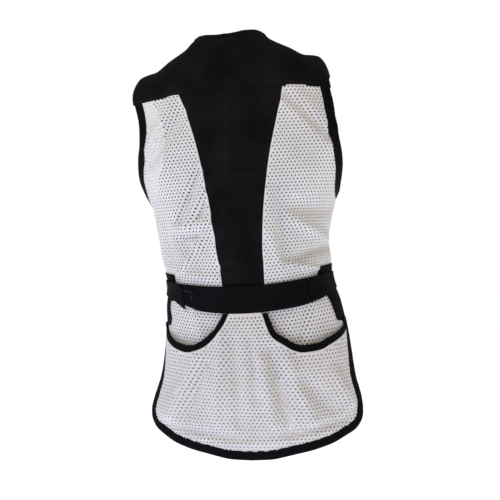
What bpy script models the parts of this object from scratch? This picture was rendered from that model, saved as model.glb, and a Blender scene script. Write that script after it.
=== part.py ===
"""A sleeveless shooting vest, worn and hollow, seen with its back to +Y and its front to -Y.

Metres, +Z up, the wearer's left at +X. The origin lies midway between the shoulders, at the height
where the vest rests beside the neck. Every cloth piece is a wall that follows one torso form: rings
from the hem to the foot of the yoke, and an arch over the shoulders above them. A place on the rings
is an angle and a height: angle 0 is the centre back, 90 degrees the left side, 180 the centre front.
"""

import math
from collections import namedtuple

import bmesh
import bpy
from mathutils import Matrix, Vector

OBJECT_NAME = "shooting_vest"

# Cloth thickness, and the gap that neighbouring pieces keep
WALL = 0.0016
GAP = 0.0004

# Form of the torso: half the width, and the depths of back and front from the middle plane
Ring = namedtuple("Ring", "z half_width back front")
RINGS = (
    Ring(-0.780, 0.197, 0.122, 0.112),
    Ring(-0.735, 0.197, 0.120, 0.114),
    Ring(-0.700, 0.196, 0.117, 0.116),
    Ring(-0.668, 0.190, 0.114, 0.116),
    Ring(-0.623, 0.177, 0.109, 0.114),
    Ring(-0.578, 0.169, 0.104, 0.111),
    Ring(-0.510, 0.161, 0.099, 0.107),
    Ring(-0.465, 0.1520, 0.097, 0.106),
    Ring(-0.420, 0.1570, 0.100, 0.109),
    Ring(-0.386, 0.158, 0.104, 0.113),
    Ring(-0.341, 0.165, 0.110, 0.119),
    Ring(-0.307, 0.172, 0.114, 0.123),
    Ring(-0.285, 0.183, 0.116, 0.125),
    Ring(-0.250, 0.202, 0.118, 0.126),
    Ring(-0.215, 0.215, 0.118, 0.125),
    Ring(-0.180, 0.223, 0.116, 0.122),
    Ring(-0.103, 0.226, 0.108, 0.114),
)
RING_POWER = 2.2

# Arch over the shoulders: its foot, the line of its top, and (x, z) places of that line
ARCH_Z = -0.103
ARCH_POWER = 2.2
RIDGE_Y = -0.010
RIDGE = (
    (0.000, 0.0260),
    (0.030, 0.0240),
    (0.050, 0.0165),
    (0.066, 0.0055),
    (0.076, -0.0045),
    (0.112, -0.0255),
    (0.141, -0.0435),
    (0.151, -0.0448),
    (0.165, -0.0480),
    (0.174, -0.0560),
    (0.180, -0.0670),
    (0.1825, -0.0780),
)
NECK_HALF_WIDTH = 0.066
NECK_BACK = 0.080
YOKE_HALF_WIDTH = 0.1825
YOKE_FRONT_OUTER = 0.1735
YOKE_FRONT_INNER = 0.046

# The wearer's stance at each height: slope across the vest, how much its sides lie above its middle,
# and the shift to the left of its sides and of its middle
Stance = namedtuple("Stance", "z slope bow sway middle")
STANCES = (
    Stance(-0.780, 0.034, 0.0000, 0.0005, 0.0014),
    Stance(-0.690, 0.036, 0.0000, 0.0005, 0.0014),
    Stance(-0.650, 0.036, 0.0000, -0.0025, 0.0005),
    Stance(-0.600, 0.035, 0.0030, -0.0040, -0.0008),
    Stance(-0.560, 0.030, 0.0100, -0.0035, -0.0012),
    Stance(-0.510, 0.008, 0.0180, 0.0010, 0.0004),
    Stance(-0.465, 0.002, 0.0180, 0.0055, 0.0014),
    Stance(-0.430, 0.000, 0.0140, 0.0080, 0.0022),
    Stance(-0.386, 0.000, 0.0040, 0.0130, 0.0040),
    Stance(-0.307, 0.000, 0.0000, 0.0070, 0.0025),
    Stance(-0.250, -0.004, 0.0000, 0.0040, 0.0014),
    Stance(-0.180, -0.008, -0.0020, 0.0010, 0.0004),
    Stance(-0.140, -0.010, -0.0050, 0.0030, 0.0006),
    Stance(-0.103, -0.012, -0.0075, 0.0090, 0.0010),
    Stance(-0.075, -0.023, -0.0050, 0.0150, 0.0060),
    Stance(-0.046, -0.036, 0.0000, 0.0165, 0.0120),
    Stance(-0.020, -0.036, 0.0000, 0.0165, 0.0155),
    Stance(0.030, -0.036, 0.0000, 0.0165, 0.0155),
)
SWAY_REACH = 0.170

# Lines of the pattern below the yoke, as (degrees, z), from the underarm up
SIDE_DEG = 95.0
UNDERARM_Z = -0.303
WAIST_Z = -0.481
BACK_ARMHOLE = (
    (95.0, -0.3030),
    (88.0, -0.3015),
    (79.0, -0.2940),
    (70.0, -0.2770),
    (61.8, -0.2500),
    (53.4, -0.2150),
    (48.2, -0.1800),
    (46.3, -0.1450),
    (46.0, -0.1030),
)
FRONT_ARMHOLE = (
    (95.0, -0.3030),
    (102.0, -0.3005),
    (110.0, -0.2900),
    (118.0, -0.2700),
    (125.8, -0.2420),
    (132.2, -0.2080),
    (135.8, -0.1750),
    (137.0, -0.1450),
    (136.4, -0.1030),
)

# Half the width of the centre panel, as (z, x)
CENTRE_PANEL = (
    (-0.481, 0.0375),
    (-0.428, 0.0395),
    (-0.375, 0.0430),
    (-0.322, 0.0475),
    (-0.270, 0.0550),
    (-0.217, 0.0645),
    (-0.164, 0.0775),
    (-0.103, 0.0945),
)
FRONT_HEM_Z = -0.660
FRONT_HEM_RISE = 0.006
FRONT_EDGE = 0.0042
NECK_POINT_Z = -0.172
NECKLINE_BOW = 0.9

# Rows of the panels, and how many of them lie below the armhole or the neckline
CENTRE_COLUMNS = 6
BACK_COLUMNS = 12
BACK_ROWS = 24
BACK_SIDE_ROWS = 9
FRONT_COLUMNS = 9
FRONT_ROWS = 28
FRONT_SIDE_ROWS = 14
FRONT_EDGE_ROWS = 24
NECK_COLUMNS = 14
STRAP_COLUMNS = 12
YOKE_ROWS = 9
STRAP_ROWS = 8
YOKE_EDGE_DENSITY = 1.6

# The tail hangs wider and flatter than the body, which its two side edges no longer go round
TAIL_DEG = 86.0
Flare = namedtuple("Flare", "z wider edge")
FLARES = (
    Flare(-0.780, 0.0100, 66.5),
    Flare(-0.700, 0.0100, 66.5),
    Flare(-0.660, 0.0085, 68.0),
    Flare(-0.620, 0.0045, 72.0),
    Flare(-0.580, 0.0020, 79.0),
    Flare(-0.543, 0.0000, 86.0),
    Flare(-0.470, 0.0000, 86.0),
)

# Its hem and the top of the pouch as (degrees, z), where 86 is always the side edge
TAIL_HEM = (
    (0.0, -0.7518),
    (10.0, -0.7505),
    (19.0, -0.7458),
    (26.4, -0.7415),
    (34.0, -0.7378),
    (42.0, -0.7330),
    (52.0, -0.7262),
    (62.0, -0.7170),
    (75.0, -0.7060),
    (80.0, -0.6985),
    (83.5, -0.6900),
    (86.0, -0.6760),
)
SCOOP_DEG = 8.8
POUCH_TOP_LEFT = (
    (0.0, -0.5053),
    (8.3, -0.5053),
    (8.8, -0.5053),
    (9.9, -0.5150),
    (11.9, -0.5262),
    (14.9, -0.5404),
    (19.0, -0.5535),
    (23.3, -0.5634),
    (28.1, -0.5702),
    (34.0, -0.5755),
    (40.3, -0.5775),
    (51.2, -0.5743),
    (62.0, -0.5680),
    (74.0, -0.5600),
    (86.0, -0.5510),
)
POUCH_TOP_RIGHT = (
    (0.0, -0.5053),
    (8.3, -0.5053),
    (8.8, -0.5053),
    (9.9, -0.5230),
    (11.9, -0.5435),
    (14.5, -0.5530),
    (17.4, -0.5588),
    (26.2, -0.5738),
    (32.9, -0.5778),
    (44.8, -0.5764),
    (53.5, -0.5704),
    (70.0, -0.5607),
    (86.0, -0.5515),
)
POUCH_DEPTH = (
    (-0.760, 0.0028),
    (-0.730, 0.0070),
    (-0.690, 0.0120),
    (-0.640, 0.0150),
    (-0.590, 0.0150),
    (-0.555, 0.0130),
    (-0.530, 0.0100),
    (-0.5053, 0.0048),
)
POUCH_EDGE_DEPTH = 0.0033
TAIL_COLUMNS = 22
TAIL_SPREAD = ((0, 0.0), (3, 8.8), (9, 25.0), (22, 86.0))
POUCH_ROWS = 12
SKIRT_ROWS = 9
TAIL_SIDE_ROWS = 9
TAIL_TOP_Z = -0.5430

# Bindings: width beyond the cloth's edge, thickness, and the gap they keep
Tape = namedtuple("Tape", "width thickness gap")
ARMHOLE_BINDING = Tape(0.0140, 0.0036, 0.0006)
NECK_BINDING = Tape(0.0085, 0.0036, 0.0009)
TAIL_BINDING = Tape(0.0110, 0.0060, 0.0018)
POUCH_BINDING = Tape(0.0120, 0.0024, 0.0005)
END_TRIM = 0.16
SCOOP_TRIM = 0.26
NECK_END_WIDTH = 0.45

# Belt: heights, the seams of its middle section, the ends of the tabs, and the layers outward
BELT_TOP = -0.4565
BELT_BOTTOM = -0.5045
BELT_SEAM_LEFT = 15.5
BELT_SEAM_RIGHT = -24.1
BELT_SIDE_END = 61.0
BELT_OUT = 0.0059
BELT_WALL = 0.0020
TAB_END_LEFT = 37.8
TAB_END_RIGHT = -47.3
TAB_SIDE_END = 98.0
TAB_ROUNDING = 7.0
TAB_OUT = 0.0090
TAB_OUT_SIDE = 0.0058
TAB_STEP = (63.0, 76.0)
PATCH_OUT = 0.0030
PATCH_WALL = 0.0014
PATCH = ((60.0, -0.437), (58.0, -0.452), (58.0, -0.500), (70.0, -0.520), (88.0, -0.540))
PATCH_FRONT_DEG = 106.0

# Zip down the front: the chain between its tapes, behind the front edges
ZIP_TOP = -0.1790
ZIP_BOTTOM = -0.650
ZIP_ROWS = 20
TAPE_WIDTH = 0.0125
TAPE_WALL = 0.0010
TAPE_OUT = -0.0026
CHAIN_WIDTH = 0.0050
CHAIN_THICKNESS = 0.0022
CHAIN_OUT = -0.0020

# Slider at the top of the chain: plates before and behind it, joined above it, and a bridge for the tab
SLIDER_WIDTH = 0.0076
SLIDER_LENGTH = 0.0115
SLIDER_NOSE = 0.0022
PLATE_WALL = 0.0014
SLIDER_GAP = 0.0003
CROWN_GAP = 0.0009
BRIDGE_WIDTH = 0.0024
BRIDGE_HOLLOW = (0.0034, 0.0028)
BRIDGE_WALL = 0.0010
BRIDGE_DOWN = 0.0050

# Pull tab: an outline with a window, hinged on its upper bar inside the bridge
PULL_WIDTH = 0.0070
PULL_LENGTH = 0.0300
PULL_WALL = 0.0016
PULL_BAR = 0.0015
WINDOW = (0.0036, 0.0058)
PULL_CORNER = 0.0018

# Folds: a soft trough or ridge from one (x, z) place to another, with its half width and height
Fold = namedtuple("Fold", "x0 z0 x1 z1 width height")
BACK_FOLDS = (
    Fold(0.096, -0.145, 0.160, -0.236, 0.015, -0.0045),
    Fold(0.072, -0.262, 0.118, -0.345, 0.013, -0.0040),
    Fold(0.110, -0.215, 0.150, -0.290, 0.018, 0.0030),
    Fold(0.050, -0.372, 0.095, -0.425, 0.011, -0.0030),
    Fold(-0.098, -0.118, -0.172, -0.197, 0.016, -0.0045),
    Fold(-0.087, -0.280, -0.080, -0.395, 0.012, -0.0035),
    Fold(-0.105, -0.338, -0.158, -0.342, 0.012, -0.0035),
    Fold(-0.107, -0.400, -0.142, -0.414, 0.010, -0.0025),
    Fold(-0.120, -0.230, -0.165, -0.275, 0.018, 0.0030),
    Fold(0.010, -0.160, 0.006, -0.230, 0.010, 0.0020),
    Fold(0.045, -0.262, 0.000, -0.238, 0.010, 0.0025),
)
POUCH_FOLDS = (
    Fold(0.016, -0.545, 0.060, -0.715, 0.014, -0.0035),
    Fold(-0.022, -0.545, -0.075, -0.715, 0.015, -0.0035),
    Fold(0.100, -0.610, 0.140, -0.680, 0.014, -0.0030),
    Fold(-0.112, -0.610, -0.145, -0.680, 0.015, -0.0030),
    Fold(0.035, -0.565, 0.100, -0.700, 0.012, 0.0030),
    Fold(-0.045, -0.565, -0.108, -0.700, 0.013, 0.0030),
    Fold(0.110, -0.706, 0.000, -0.726, 0.009, -0.0030),
    Fold(-0.110, -0.706, 0.000, -0.726, 0.009, -0.0030),
)
FRONT_FOLDS = (
    Fold(0.060, -0.230, 0.130, -0.300, 0.018, -0.0040),
    Fold(0.050, -0.380, 0.110, -0.430, 0.015, -0.0040),
    Fold(0.055, -0.540, 0.110, -0.610, 0.018, 0.0040),
    Fold(-0.060, -0.240, -0.125, -0.310, 0.018, -0.0040),
    Fold(-0.055, -0.390, -0.115, -0.440, 0.015, -0.0040),
    Fold(-0.055, -0.560, -0.105, -0.620, 0.018, 0.0040),
)
FOLD_FADE = 0.35


def clear_scene():
    for thing in list(bpy.data.objects):
        bpy.data.objects.remove(thing, do_unlink=True)


def curve(pairs):
    """A smooth curve through (x, y) pairs, which never overshoots between two of them."""
    xs, ys = zip(*sorted(pairs))
    steps = [(ys[i + 1] - ys[i]) / (xs[i + 1] - xs[i]) for i in range(len(xs) - 1)]
    slopes = [steps[0]]
    for before, after in zip(steps, steps[1:]):
        same_way = before * after > 0
        slopes.append(2 * before * after / (before + after) if same_way else 0.0)
    slopes.append(steps[-1])

    def at(x):
        x = min(max(x, xs[0]), xs[-1])
        i = max(k for k in range(len(xs) - 1) if xs[k] <= x)
        span = xs[i + 1] - xs[i]
        t = (x - xs[i]) / span
        rise = (3 - 2 * t) * t * t
        bend = slopes[i] * t * (1 - t) ** 2 - slopes[i + 1] * t * t * (1 - t)
        return ys[i] + (ys[i + 1] - ys[i]) * rise + span * bend

    return at


half_width = curve([(ring.z, ring.half_width) for ring in RINGS])
back_depth = curve([(ring.z, ring.back) for ring in RINGS])
front_depth = curve([(ring.z, ring.front) for ring in RINGS])
slope_at = curve([(stance.z, stance.slope) for stance in STANCES])
bow_at = curve([(stance.z, stance.bow) for stance in STANCES])
sway_at = curve([(stance.z, stance.sway) for stance in STANCES])
middle_sway_at = curve([(stance.z, stance.middle) for stance in STANCES])
ridge_z = curve(RIDGE)
centre_half_width = curve(CENTRE_PANEL)
tail_wider = curve([(flare.z, flare.wider) for flare in FLARES])
tail_edge = curve([(flare.z, flare.edge) for flare in FLARES])
tail_hem_z = curve(TAIL_HEM)
tail_degrees = curve(TAIL_SPREAD)
pouch_top_left = curve(POUCH_TOP_LEFT)
pouch_top_right = curve(POUCH_TOP_RIGHT)
pouch_depth = curve(POUCH_DEPTH)


def lerp(low, high, share):
    return low + (high - low) * share


def ease(share):
    """From 0 to 1, starting and ending gently."""
    share = min(max(share, 0.0), 1.0)
    return share * share * (3 - 2 * share)


def signed_power(value, power):
    return math.copysign(abs(value) ** power, value)


def posed(point):
    """The point as the wearer's stance carries it."""
    x, y, z = point
    reach = (x / SWAY_REACH) ** 2
    shift = lerp(middle_sway_at(z), sway_at(z), min(1.0, reach))
    return Vector((x + shift, y, z + x * slope_at(z) + bow_at(z) * reach))


def angle_at(x, z, front=False):
    """The angle round the ring at height z where its point lies x from the middle plane."""
    turned = math.asin(min(1.0, abs(x) / half_width(z)) ** (RING_POWER / 2))
    turned = math.pi - turned if front else turned
    return math.copysign(turned, x)


def fold_height(folds, point):
    """How far the folds push the cloth out at a point of the form."""
    total = 0.0
    for fold in folds:
        start = Vector((fold.x0, fold.z0))
        run = Vector((fold.x1, fold.z1)) - start
        here = Vector((point.x, point.z)) - start
        along = here.dot(run) / run.length_squared
        away = abs(here.cross(run)) / run.length
        past = max(0.0, -along, along - 1) * run.length
        fade = 1 - FOLD_FADE * abs(2 * min(max(along, 0.0), 1.0) - 1)
        total += fold.height * fade * math.exp(-(away**2 + past**2) / fold.width**2)
    return total


def ring_point(angle, z, out=0.0, folds=(), wider=0.0):
    """A point of the form below the yoke, out from it by a distance and by the folds."""
    half = half_width(z) + wider
    deep = back_depth(z) if abs(angle) < math.pi / 2 else front_depth(z)
    side = signed_power(math.sin(angle), 2 / RING_POWER)
    rear = signed_power(math.cos(angle), 2 / RING_POWER)
    if folds:
        out += fold_height(folds, Vector((half * side, deep * rear, z)))
    return Vector(((half + out) * side, (deep + out) * rear, z))


def tail_point(angle, z, out=0.0, folds=()):
    """A point of the tail, whose side edges keep one angle while they turn away from the body."""
    return ring_point(angle * tail_edge(z) / TAIL_DEG, z, out, folds, tail_wider(z))


def across_arch(x):
    """The share of the ring's depth that is left x from the middle, at the foot of the arch."""
    return (1 - (abs(x) / half_width(ARCH_Z)) ** RING_POWER) ** (1 / RING_POWER)


def arch_point(x, turn, out=0.0):
    """A point of the yoke: turn 0 is its back seam, half pi the shoulder's top, pi its front seam."""
    deep = back_depth(ARCH_Z) if turn < math.pi / 2 else -front_depth(ARCH_Z)
    foot = deep * across_arch(x) + math.copysign(out, deep)
    rise = ridge_z(abs(x)) + out - ARCH_Z
    flat = abs(math.cos(turn)) ** (2 / ARCH_POWER)
    high = math.sin(turn) ** (2 / ARCH_POWER) if turn < math.pi else 0.0
    return Vector((x, lerp(RIDGE_Y, foot, flat), ARCH_Z + rise * high))


def outward(surface, first, second):
    """The surface's outward normal, from small steps along its two directions."""
    step = 1e-4
    run = surface(first + step, second) - surface(first - step, second)
    rise = surface(first, second + step) - surface(first, second - step)
    return rise.cross(run).normalized()


def ring_station(angle, z, out, folds=(), form=ring_point):
    """A point and the outward normal there, for what is sewn along a line of the pattern."""
    normal = outward(lambda first, second: posed(form(first, second, 0.0, folds)), angle, z)
    return posed(form(angle, z, out, folds)), normal


def arch_station(x, turn, out):
    inside = min(max(turn, 0.002), math.pi - 0.002)
    normal = outward(lambda first, second: posed(arch_point(first, second)), x, inside)
    return posed(arch_point(x, turn)) + normal * out, normal


def rail(rows, reach=0.17):
    """A line of the pattern through (degrees, z) rows, as a function from 0 to 1 of its length."""
    lengths = [0.0]
    for before, after in zip(rows, rows[1:]):
        across = math.radians(after[0] - before[0]) * reach
        lengths.append(lengths[-1] + math.hypot(across, after[1] - before[1]))
    angle = curve([(length, math.radians(row[0])) for length, row in zip(lengths, rows)])
    height = curve([(length, row[1]) for length, row in zip(lengths, rows)])
    return lambda share: (angle(share * lengths[-1]), height(share * lengths[-1]))


def mirrored(line):
    """The same line on the wearer's other side."""

    def across(share):
        angle, height = line(share)
        return -angle, height

    return across


back_armhole = rail(BACK_ARMHOLE)
front_armhole = rail(FRONT_ARMHOLE)
SIDE_GAP = GAP / 0.15


def back_outer(share):
    """The back mesh panel's outer line: the side seam, then the armhole."""
    split = BACK_SIDE_ROWS / BACK_ROWS
    seam = math.radians(SIDE_DEG) - SIDE_GAP
    if share <= split:
        return seam, lerp(WAIST_Z + GAP, UNDERARM_Z, share / split)
    angle, height = back_armhole((share - split) / (1 - split))
    return min(angle, seam), min(height, ARCH_Z - GAP)


def centre_edge(share, gap=0.0):
    """The centre panel's side edge, and with a gap the mesh panel's edge along it."""
    height = lerp(WAIST_Z + GAP, ARCH_Z - GAP, share)
    return angle_at(centre_half_width(height) + gap, height), height


def back_inner(share):
    return centre_edge(share, GAP)


def front_outer(share):
    """The front panel's outer line: the side vent and seam, then the armhole."""
    split = FRONT_SIDE_ROWS / FRONT_ROWS
    seam = math.radians(SIDE_DEG) + SIDE_GAP
    if share <= split:
        return seam, lerp(FRONT_HEM_Z, UNDERARM_Z, share / split)
    angle, height = front_armhole((share - split) / (1 - split))
    return max(angle, seam), min(height, ARCH_Z - GAP)


def front_inner(share):
    """The front panel's inner line: the zip edge, then the neckline up to the yoke."""
    split = FRONT_EDGE_ROWS / FRONT_ROWS
    if share <= split:
        height = lerp(FRONT_HEM_Z + FRONT_HEM_RISE, NECK_POINT_Z, share / split)
        return angle_at(FRONT_EDGE, height, True), height
    up = (share - split) / (1 - split)
    height = lerp(NECK_POINT_Z, ARCH_Z - GAP, up)
    return angle_at(lerp(FRONT_EDGE, YOKE_FRONT_INNER, up**NECKLINE_BOW), height, True), height


def make_material(name, colour, roughness, metallic=0.0):
    material = bpy.data.materials.new(name)
    material.use_nodes = True
    shader = material.node_tree.nodes["Principled BSDF"]
    shader.inputs["Base Color"].default_value = (*colour, 1.0)
    shader.inputs["Roughness"].default_value = roughness
    shader.inputs["Metallic"].default_value = metallic
    return material


def make_object(name, shape, material, collection):
    """A named object from a bmesh, shaded smooth but for its sharp edges."""
    mesh = bpy.data.meshes.new(name)
    shape.to_mesh(mesh)
    shape.free()
    mesh.materials.append(material)
    mesh.shade_smooth()
    mesh.set_sharp_from_angle(angle=math.radians(40))
    thing = bpy.data.objects.new(name, mesh)
    collection.objects.link(thing)
    return thing


def add_wall(thing, thickness):
    wall = thing.modifiers.new("Wall", "SOLIDIFY")
    wall.thickness = thickness
    wall.offset = -1.0


def grid(place, columns, rows, flip=True):
    """A sheet of columns by rows faces, each point put where place says, from shares 0 to 1."""
    shape = bmesh.new()
    bmesh.ops.create_grid(shape, x_segments=columns, y_segments=rows, size=0.5)
    for vertex in shape.verts:
        vertex.co = posed(place(vertex.co.x + 0.5, vertex.co.y + 0.5))
    if flip:
        bmesh.ops.reverse_faces(shape, faces=shape.faces)
    return shape


def panel(name, low, high, size, thickness, out, folds, material, collection):
    """A cloth wall between two lines of the pattern, low at the smaller angle, size columns by rows.

    out is how far its outer face lies from the form, or a function of angle and height.
    """

    def place(across, up):
        start = low(up)
        end = high(up)
        angle = lerp(start[0], end[0], across)
        height = lerp(start[1], end[1], across)
        return ring_point(angle, height, out(angle, height) if callable(out) else out, folds)

    thing = make_object(name, grid(place, *size), material, collection)
    add_wall(thing, thickness)
    return thing


def strip(name, stations, tape, material, collection, wider=None):
    """A folded tape along a cloth edge: each station is a point of the edge and its outward normal.

    The tape lies beyond the edge, to the right of the way along it seen from outside.
    """
    shape = bmesh.new()
    sections = []
    last = len(stations) - 1
    for k, (point, normal) in enumerate(stations):
        along = stations[min(k + 1, last)][0] - stations[max(k - 1, 0)][0]
        beyond = normal.cross(along).normalized()
        up = along.cross(beyond).normalized()
        width = tape.width * (wider(k / last) if wider else 1.0)
        outline = (
            (tape.gap, -0.42),
            (0.70 * width, -0.50),
            (width, -0.20),
            (width, 0.20),
            (0.70 * width, 0.50),
            (tape.gap, 0.42),
        )
        places = [point + beyond * side + up * (high * tape.thickness) for side, high in outline]
        sections.append([shape.verts.new(place) for place in places])
    for first, second in zip(sections, sections[1:]):
        for k in range(len(first)):
            after = (k + 1) % len(first)
            shape.faces.new((first[k], first[after], second[after], second[k]))
    shape.faces.new(list(reversed(sections[0])))
    shape.faces.new(sections[-1])
    bmesh.ops.recalc_face_normals(shape, faces=shape.faces)
    return make_object(name, shape, material, collection)


def trimmed(stations, share):
    """The stations with each end moved inward by a share of the way to its neighbour."""
    (first, normal), (second, _) = stations[:2]
    (before, _), (last, facing) = stations[-2:]
    inner = stations[1:-1]
    return [(first.lerp(second, share), normal)] + inner + [(last.lerp(before, share), facing)]


def strap_edges(turn):
    """The inner and outer edges of a shoulder strap, from the top of the shoulder to the front seam."""
    share = max(0.0, turn / (math.pi / 2) - 1)
    inner = lerp(NECK_HALF_WIDTH, YOKE_FRONT_INNER, share)
    return inner, lerp(YOKE_HALF_WIDTH, YOKE_FRONT_OUTER, ease(share))


def neck_turn(x):
    """How far round the arch the neck edge lies, x from the middle."""
    share = min(abs(x) / NECK_HALF_WIDTH, 1.0)
    deep = NECK_BACK * (1 - share**2.4) ** (1 / 2.4)
    foot = back_depth(ARCH_Z) * across_arch(x) - RIDGE_Y
    return math.acos((deep / foot) ** (ARCH_POWER / 2))


def neck_x(share):
    """Places across the neck, closer together towards its corners."""
    return NECK_HALF_WIDTH * math.sin(math.pi / 2 * (2 * share - 1))


def strap_share(share):
    """Places across a shoulder, closer together at its rounded outer edge."""
    return 1 - (1 - share) ** YOKE_EDGE_DENSITY


def build_yoke(material, collection):
    whole = bmesh.new()

    def back_of_neck(across, up):
        x = neck_x(across)
        return arch_point(x, neck_turn(x) * up)

    def strap_back(side):
        def place(across, up):
            x = lerp(NECK_HALF_WIDTH, YOKE_HALF_WIDTH, strap_share(across))
            return arch_point(side * x, math.pi / 2 * up)

        return place

    def strap_front(side):
        def place(across, up):
            turn = math.pi / 2 * (1 + up)
            inner, outer = strap_edges(turn)
            return arch_point(side * lerp(inner, outer, strap_share(across)), turn)

        return place

    pieces = [grid(back_of_neck, NECK_COLUMNS, YOKE_ROWS)]
    for side in (1, -1):
        pieces.append(grid(strap_back(side), STRAP_COLUMNS, YOKE_ROWS, side > 0))
        pieces.append(grid(strap_front(side), STRAP_COLUMNS, STRAP_ROWS, side > 0))
    for piece in pieces:
        mesh = bpy.data.meshes.new("yoke_part")
        piece.to_mesh(mesh)
        piece.free()
        whole.from_mesh(mesh)
        bpy.data.meshes.remove(mesh)
    bmesh.ops.remove_doubles(whole, verts=whole.verts, dist=1e-5)
    thing = make_object("yoke", whole, material, collection)
    add_wall(thing, WALL)


def build_upper_back(twill, mesh_cloth, collection):
    size = (CENTRE_COLUMNS, BACK_ROWS)
    body = (WALL, 0.0, BACK_FOLDS)
    panel("back_centre_panel", mirrored(centre_edge), centre_edge, size, *body, twill, collection)
    size = (BACK_COLUMNS, BACK_ROWS)
    panel("back_mesh_left", back_inner, back_outer, size, *body, mesh_cloth, collection)
    panel("back_mesh_right", mirrored(back_outer), mirrored(back_inner), size, *body, mesh_cloth, collection)


def build_front(twill, collection):
    size = (FRONT_COLUMNS, FRONT_ROWS)
    body = (WALL, 0.0, FRONT_FOLDS, twill, collection)
    panel("front_left", front_outer, front_inner, size, *body)
    panel("front_right", mirrored(front_inner), mirrored(front_outer), size, *body)


def pouch_out(angle, z):
    """How far the pouch panel stands off the inner skirt."""
    share = min(abs(angle) / math.radians(TAIL_DEG), 1.0)
    return lerp(pouch_depth(z), POUCH_EDGE_DEPTH, share**2.5)


def pouch_top_z(degrees):
    """The height of the pouch's upper edge: a flat middle under the belt, and a scoop at each side."""
    return pouch_top_left(degrees) if degrees > 0 else pouch_top_right(-degrees)


def tail_sheet(name, top, rows, out, folds, material, collection):
    """A wall from the tail's hem line up to the height that top gives at each place across."""

    def place(across, up):
        step = round((2 * across - 1) * TAIL_COLUMNS)
        degrees = tail_degrees(abs(step))
        angle = math.radians(math.copysign(degrees, step))
        height = lerp(tail_hem_z(degrees), top(math.degrees(angle)), up)
        return tail_point(angle, height, out(angle, height) if callable(out) else out, folds)

    shape = grid(place, 2 * TAIL_COLUMNS, rows)
    thing = make_object(name, shape, material, collection)
    add_wall(thing, WALL)


def build_tail(mesh_cloth, tape_cloth, collection):
    tail_sheet("inner_skirt", lambda degrees: WAIST_Z - GAP, SKIRT_ROWS, 0.0, (), mesh_cloth, collection)
    tail_sheet("pouch_panel", pouch_top_z, POUCH_ROWS, pouch_out, POUCH_FOLDS, mesh_cloth, collection)

    # The tail's binding holds both layers, down one side, round the hem and up the other side
    middle = (POUCH_EDGE_DEPTH - WALL) / 2
    low = tail_hem_z(TAIL_DEG)
    line = [(TAIL_DEG, lerp(TAIL_TOP_Z, low, k / TAIL_SIDE_ROWS)) for k in range(TAIL_SIDE_ROWS)]
    for step in range(TAIL_COLUMNS, -1, -1):
        line.append((tail_degrees(step), tail_hem_z(tail_degrees(step))))
    line = [(-degrees, z) for degrees, z in line[:-1]] + list(reversed(line))
    stations = [ring_station(math.radians(degrees), z, middle, (), tail_point) for degrees, z in line]
    strip("tail_binding", stations, TAIL_BINDING, tape_cloth, collection)

    first = next(step for step in range(TAIL_COLUMNS) if tail_degrees(step) >= SCOOP_DEG)
    for side, name in ((1, "left"), (-1, "right")):
        stations = []
        for step in range(first, TAIL_COLUMNS + 1):
            degrees = min(tail_degrees(step), TAIL_DEG - 0.5)
            z = pouch_top_z(side * degrees)
            angle = side * math.radians(degrees)
            out = pouch_out(angle, z) - WALL / 2
            stations.append(ring_station(angle, z, out, POUCH_FOLDS, tail_point))
        if side > 0:
            stations.reverse()
        stations = trimmed(stations, SCOOP_TRIM)
        narrower = lambda share: 0.8 + 0.3 * math.sin(math.pi * share)
        strip("pouch_binding_" + name, stations, POUCH_BINDING, tape_cloth, collection, narrower)


def build_bindings(tape_cloth, collection):
    middle = -WALL / 2
    for side, name in ((1, "left"), (-1, "right")):
        stations = []
        for k in range(BACK_ROWS, BACK_SIDE_ROWS, -1):
            angle, z = back_outer(k / BACK_ROWS)
            stations.append(ring_station(side * angle, z, middle, BACK_FOLDS))
        for k in range(FRONT_SIDE_ROWS, FRONT_ROWS + 1):
            angle, z = front_outer(k / FRONT_ROWS)
            stations.append(ring_station(side * angle, z, middle, FRONT_FOLDS))
        if side > 0:
            stations.reverse()
        stations = trimmed(stations, END_TRIM)
        strip("armhole_binding_" + name, stations, ARMHOLE_BINDING, tape_cloth, collection)

    # The neck's binding runs from the zip up the left neckline, round the back and down the right
    places = []
    for k in range(FRONT_EDGE_ROWS, FRONT_ROWS):
        angle, z = front_inner(k / FRONT_ROWS)
        places.append(("ring", angle, z))
    for k in range(STRAP_ROWS):
        turn = math.pi - math.pi / 2 * max(k, 0.1) / STRAP_ROWS
        places.append(("arch", strap_edges(turn)[0], turn))
    for k in range(NECK_COLUMNS // 2 + 1):
        x = -neck_x(k / NECK_COLUMNS)
        places.append(("arch", x, neck_turn(x)))
    whole = places + [(form, -first, second) for form, first, second in reversed(places[:-1])]
    station = {
        "ring": lambda angle, z: ring_station(angle, z, middle, FRONT_FOLDS),
        "arch": lambda x, turn: arch_station(x, turn, middle),
    }
    stations = [station[form](first, second) for form, first, second in whole]
    last = len(stations) - 1

    def narrow_ends(share):
        return lerp(NECK_END_WIDTH, 1.0, min(1.0, last * share, last * (1 - share)))

    strip("neck_binding", stations, NECK_BINDING, tape_cloth, collection, narrow_ends)


def belt_line(degrees, rounding=0.0):
    """The end of a belt section: straight, or rounded over its height."""

    def line(share):
        bow = rounding * (1 - math.sqrt(max(0.0, 1 - (2 * share - 1) ** 2)))
        return math.radians(degrees + bow), lerp(BELT_BOTTOM, BELT_TOP, share)

    return line


def tab_out(angle, z):
    """The tab lies on the belt's side section, then steps down onto the patch at the side."""
    start, end = TAB_STEP
    return lerp(TAB_OUT, TAB_OUT_SIDE, ease((abs(math.degrees(angle)) - start) / (end - start)))


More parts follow.
